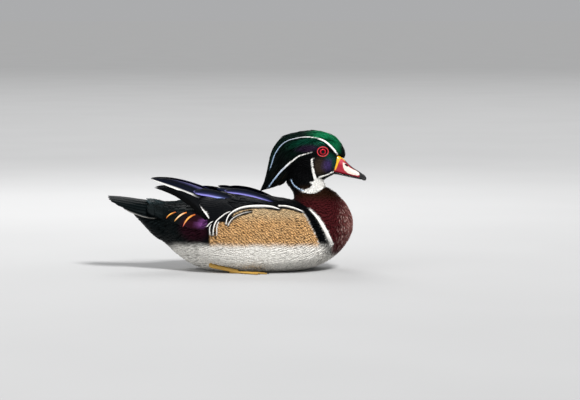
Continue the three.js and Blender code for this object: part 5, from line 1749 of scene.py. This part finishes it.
def eye_colours(place):
    """Black pupil, red iris with darker rays, and black beyond it, on either side."""
    own = np.abs(place[:, 1:2]) * np.array([0, -1, 0]) + place * np.array([1, 0, 1])
    away = own - EYE_PLACE
    reach = np.linalg.norm(away - (away @ LOOK)[:, None] * LOOK, axis=1)
    ray = grain(unit(away) * 30, 1.0)
    iris = fade(PUPIL - 0.12, PUPIL + 0.12, reach) * (0.7 + 0.3 * ray)
    ink = mix(INK["black"], INK["iris"], iris)
    ink = mix(ink, INK["black"], fade(IRIS - 0.35, IRIS + 0.1, reach))
    return ink, 0 * reach


for label, turned in SIDES:
    solid_piece("eye_ball_" + label, [turned(eye_part())], eye_colours, "eye_" + label)


def lid_part():
    """Ring of bare skin round the eye, bedded on the head's side."""
    turn = np.linspace(0, 2 * np.pi, 96, endpoint=False)[:, None]
    ring = LID["long"] * np.cos(turn) * AHEAD + LID["high"] * np.sin(turn) * RISE + LID["out"] * LOOK
    bead = 1.07 * LID["bead"] * (1 + 0.05 * np.sin(23 * turn) + 0.04 * np.sin(37 * turn + 1))[:, 0]
    return swept([(ring + EYE_PLACE, bead)], 18, LOOKS["lid"], closed=True)


for label, turned in SIDES:
    solid_piece("eyelid_ring_" + label, [turned(lid_part())], one_ink("lid_red"),
                "eyelid_" + label)

# Feet, tucked flat under the belly: places of knee, heel and the toes' root, radii from knee
# to toes, and the three long toes with the small hind toe.
KNEE, HEEL, TOE_BASE = np.array([-38, -33, 20.0]), np.array([-43, -43, 9.5]), np.array([-8, -50, 3.0])
LEG_RADII = [5, 4.2, 3.4, 2.9, 2.7, 2.5, 2.4]
TOES = {"length": [30, 38, 34, 11], "spread": [-32, -15, 2, 168], "thick": 1.7}
TOE_RADII = TOES["thick"] * np.array([1, 0.78, 0.92, 0.66, 0.8, 0.55, 0.5])
WEB_TOP, WEB_UNDER = 1.15, 0.45
FOOT_FLOOR = 0.15


def limb(path, radii, rows):
    """Places and radii along a limb, from a few places and from radii at even steps."""
    t = np.linspace(0, 1, rows)
    centre = read_off(t, np.linspace(0, 1, len(path)), path)
    return centre, np.interp(t, np.linspace(0, 1, len(radii)), radii)


def resting(part):
    """The part with its underside laid flat on the floor."""
    part[0][:, 2] = np.maximum(part[0][:, 2], FOOT_FLOOR)
    return part


def foot_parts():
    """Toes with joints and claws, and the web between the front three."""
    toes, claws, tips = [], [], []
    thick = TOES["thick"]
    ground = TOE_BASE * np.array([1, 1, 0])
    base = ground + [0, 0, thick]
    for length, spread in zip(TOES["length"], TOES["spread"]):
        turn = math.radians(spread)
        ahead = np.array([math.cos(turn), math.sin(turn), 0])
        tip = base + ahead * length
        toes.append(limb([base, tip - [0, 0, thick * 0.5]], TOE_RADII, rows=60))
        claw = [tip - ahead * 1.5 - [0, 0, 0.6], tip + ahead * 1.6 - [0, 0, 0.3],
                tip + ahead * 3.6 - [0, 0, 1.1]]
        claws.append(limb(claw, [0.75, 0.6, 0.12], rows=16))
        tips.append(ahead * length * 0.93)
    web = []
    for share in np.linspace(0.06, 1, 60):
        edge = []
        for a, b in ((0, 1), (1, 2)):
            for t in np.linspace(0, 1, 17)[:None if a else -1]:
                bulge = math.sin(math.pi * t)
                reach = share * (1 - 0.22 * bulge)
                fold = 0.16 * math.sin(9 * math.pi * t) * bulge * share
                edge.append(ground + (tips[a] * (1 - t) + tips[b] * t) * reach + [0, 0, fold])
        web.append(edge)
    top, low = np.array(web) + [0, 0, WEB_TOP], (np.array(web) + [0, 0, WEB_UNDER])[:, ::-1]
    return [resting(swept(toes, 16, LOOKS["foot"])), resting(swept(claws, 12, LOOKS["foot"])),
            tube(np.concatenate([top, low], 1))]


def foot_colours(place):
    """Yellow toes with black claws, and a greyer web, on either side."""
    flat = np.stack([place[:, 0], -np.abs(place[:, 1])], -1) - TOE_BASE[:2]
    away = np.linalg.norm(flat, axis=1)
    web = fade(1.75, 1.2, place[:, 2]) * fade(0, 6, away)
    ink = mix(np.tile(INK["straw"], (len(place), 1)), INK["straw"] * 0.45, web * 0.7)
    turn = np.radians(TOES["spread"])
    ends = (np.array(TOES["length"]) + 0.4)[:, None] * np.stack([np.cos(turn), np.sin(turn)], -1)
    gap = np.linalg.norm(flat[:, None] - ends, axis=2)
    beyond = away > np.linalg.norm(ends, axis=1)[gap.argmin(1)]
    return mix(ink, INK["horn_black"], fade(3.4, 2.6, gap.min(1)) * beyond), 0 * away


def leg_part():
    """Leg from knee over heel to the root of the toes."""
    path = limb([KNEE, HEEL, TOE_BASE + [0, 0, -0.4]], LEG_RADII, rows=60)
    return resting(swept([path], 16, LOOKS["foot"]))


for label, turned in SIDES:
    solid_piece("foot_webbed_" + label, [turned(part) for part in foot_parts()], foot_colours,
                "foot_" + label)
    solid_piece("leg_bare_" + label, [turned(leg_part())], one_ink("straw"), "leg_" + label)

# The skin itself, in the coat's colours but darker, as it lies in the feathers' shade.
SKIN_SHADE = 0.7
ink, gloss, fine = plumage(skin_points)
paint = skin.data.color_attributes.new("plumage", "FLOAT_COLOR", "POINT")
rgba = np.concatenate([ink * SKIN_SHADE, gloss[:, None]], 1)
paint.data.foreach_set("color", rgba.astype(np.float32).ravel())
skin.data.polygons.foreach_set("use_smooth", np.ones(len(skin.data.polygons), bool))
keep(skin, ["torso", "neck", "head"])

# Looks by the start of a piece's name; the other pieces wear the coat's.
WEARS = {
    "coat_face": "metal", "coat_nape": "metal", "crest_locks": "metal", "coat_flank": "flank",
    "rump_coverts": "wing", "wing_coverts": "wing", "primaries": "wing", "tail_feathers": "wing",
    "golden_plumes": "plume", "bill": "horn", "eyelid": "lid", "eye": "eye", "foot": "foot",
    "leg": "foot",
}
for piece in PIECES:
    look = next((WEARS[start] for start in WEARS if piece.name.startswith(start)), "coat")
    piece.data.materials.clear()
    piece.data.materials.append(LOOKS[look])

# A wide floor of pale matt paper, with painted shade that darkens it a little between two distances in
# metres.
FLOOR = {"rings": [0.5, 1, 2, 4, 8, 16, 32, 64, 128, 256], "fade": (2.0, 13.0), "far": 0.66}
spin = np.linspace(0, 2 * np.pi, 64, endpoint=False)
rings = [[(reach * math.cos(t), reach * math.sin(t), 0.0) for t in spin] for reach in FLOOR["rings"]]
faces = grid_triangles(len(rings), len(spin), closed=True)
first = np.arange(len(spin))
middle = np.stack([first, (first + 1) % len(spin), 0 * first + len(rings) * len(spin)], 1)
mesh = bpy.data.meshes.new("studio_floor")
mesh.from_pydata(np.concatenate([np.array(rings).reshape(-1, 3), [[0, 0, 0]]]).tolist(), [],
                 np.concatenate([faces[:, ::-1], middle]).tolist())
floor = linked("studio_floor", mesh)
made, tree = material("studio_paper")
place = node(tree, "TexCoord").outputs["Object"]
noise = node(tree, "TexNoise", {"Vector": place, "Scale": 3.0, "Detail": 2.0})
tone = node(tree, "MapRange", {"Value": noise, "To Min": 0.96, "To Max": 1.036})
reach = node(tree, "VectorMath", {0: place}, operation="LENGTH")
# Painted shade: the paper darkens with its distance from the bird, where less light would fall.
far = node(tree, "MapRange", {
    "Value": reach.outputs["Value"], "From Min": FLOOR["fade"][0], "From Max": FLOOR["fade"][1],
    "To Min": 1.0, "To Max": FLOOR["far"]}, interpolation_type="SMOOTHSTEP")
shade = node(tree, "Math", {0: tone, 1: far}, operation="MULTIPLY")
paper = node(tree, "VectorMath", {0: tuple(INK["paper"]), "Scale": shade}, operation="SCALE")
shader = node(tree, "BsdfPrincipled", {
    "Base Color": paper, "Roughness": 0.9, "Specular IOR Level": 0.0})
node(tree, "OutputMaterial", {"Surface": shader})
mesh.materials.append(made)

# Soft light: two large lamps aimed at the bird, a hazy sun from over the camera's right, and a
# pale sky.
LAMPS = {"fill": {"place": (-1.4, -1.2, 0.8), "size": 1.2, "watts": 6},
         "back": {"place": (-0.3, 1.2, 1.3), "size": 0.9, "watts": 12}}
BIRD_MIDDLE = Vector((0.0, 0.0, 0.08))
SUN = {"aim": (-0.42, 0.8, -0.95), "strength": 3.4, "spread": 14}
SKY_STRENGTH = 0.42


def staged(name, data, place, aim):
    """Lamp or camera at a place, turned to look along a direction."""
    made = linked(name, data)
    made.location = place
    made.rotation_euler = Vector(aim).to_track_quat("-Z", "Y").to_euler()
    return made


for name, row in LAMPS.items():
    data = bpy.data.lights.new(name, "AREA")
    data.size, data.energy = row["size"], row["watts"]
    made = staged(name, data, row["place"], BIRD_MIDDLE - Vector(row["place"]))
data = bpy.data.lights.new("key", "SUN")
data.energy, data.angle = SUN["strength"], math.radians(SUN["spread"])
key = staged("key", data, (0, 0, 0), SUN["aim"])
world = bpy.data.worlds.new("studio")
world.use_nodes = True
sky = world.node_tree.nodes["Background"].inputs
sky["Color"].default_value = (*INK["sky_white"], 1)
sky["Strength"].default_value = SKY_STRENGTH
bpy.context.scene.world = world
bpy.context.scene.view_settings.view_transform = "Standard"

# The camera looks at the bird's right side from a little above.
TARGET = Vector((0.0585, 0, 0.09065))
ELEVATION, DISTANCE = math.radians(4.5), 3.0
SENSOR, LENS = 36, 143.2
data = bpy.data.cameras.new("camera")
data.sensor_width, data.lens = SENSOR, LENS
stand = TARGET + DISTANCE * Vector((0, -math.cos(ELEVATION), math.sin(ELEVATION)))
bpy.context.scene.camera = staged("camera", data, stand, TARGET - stand)
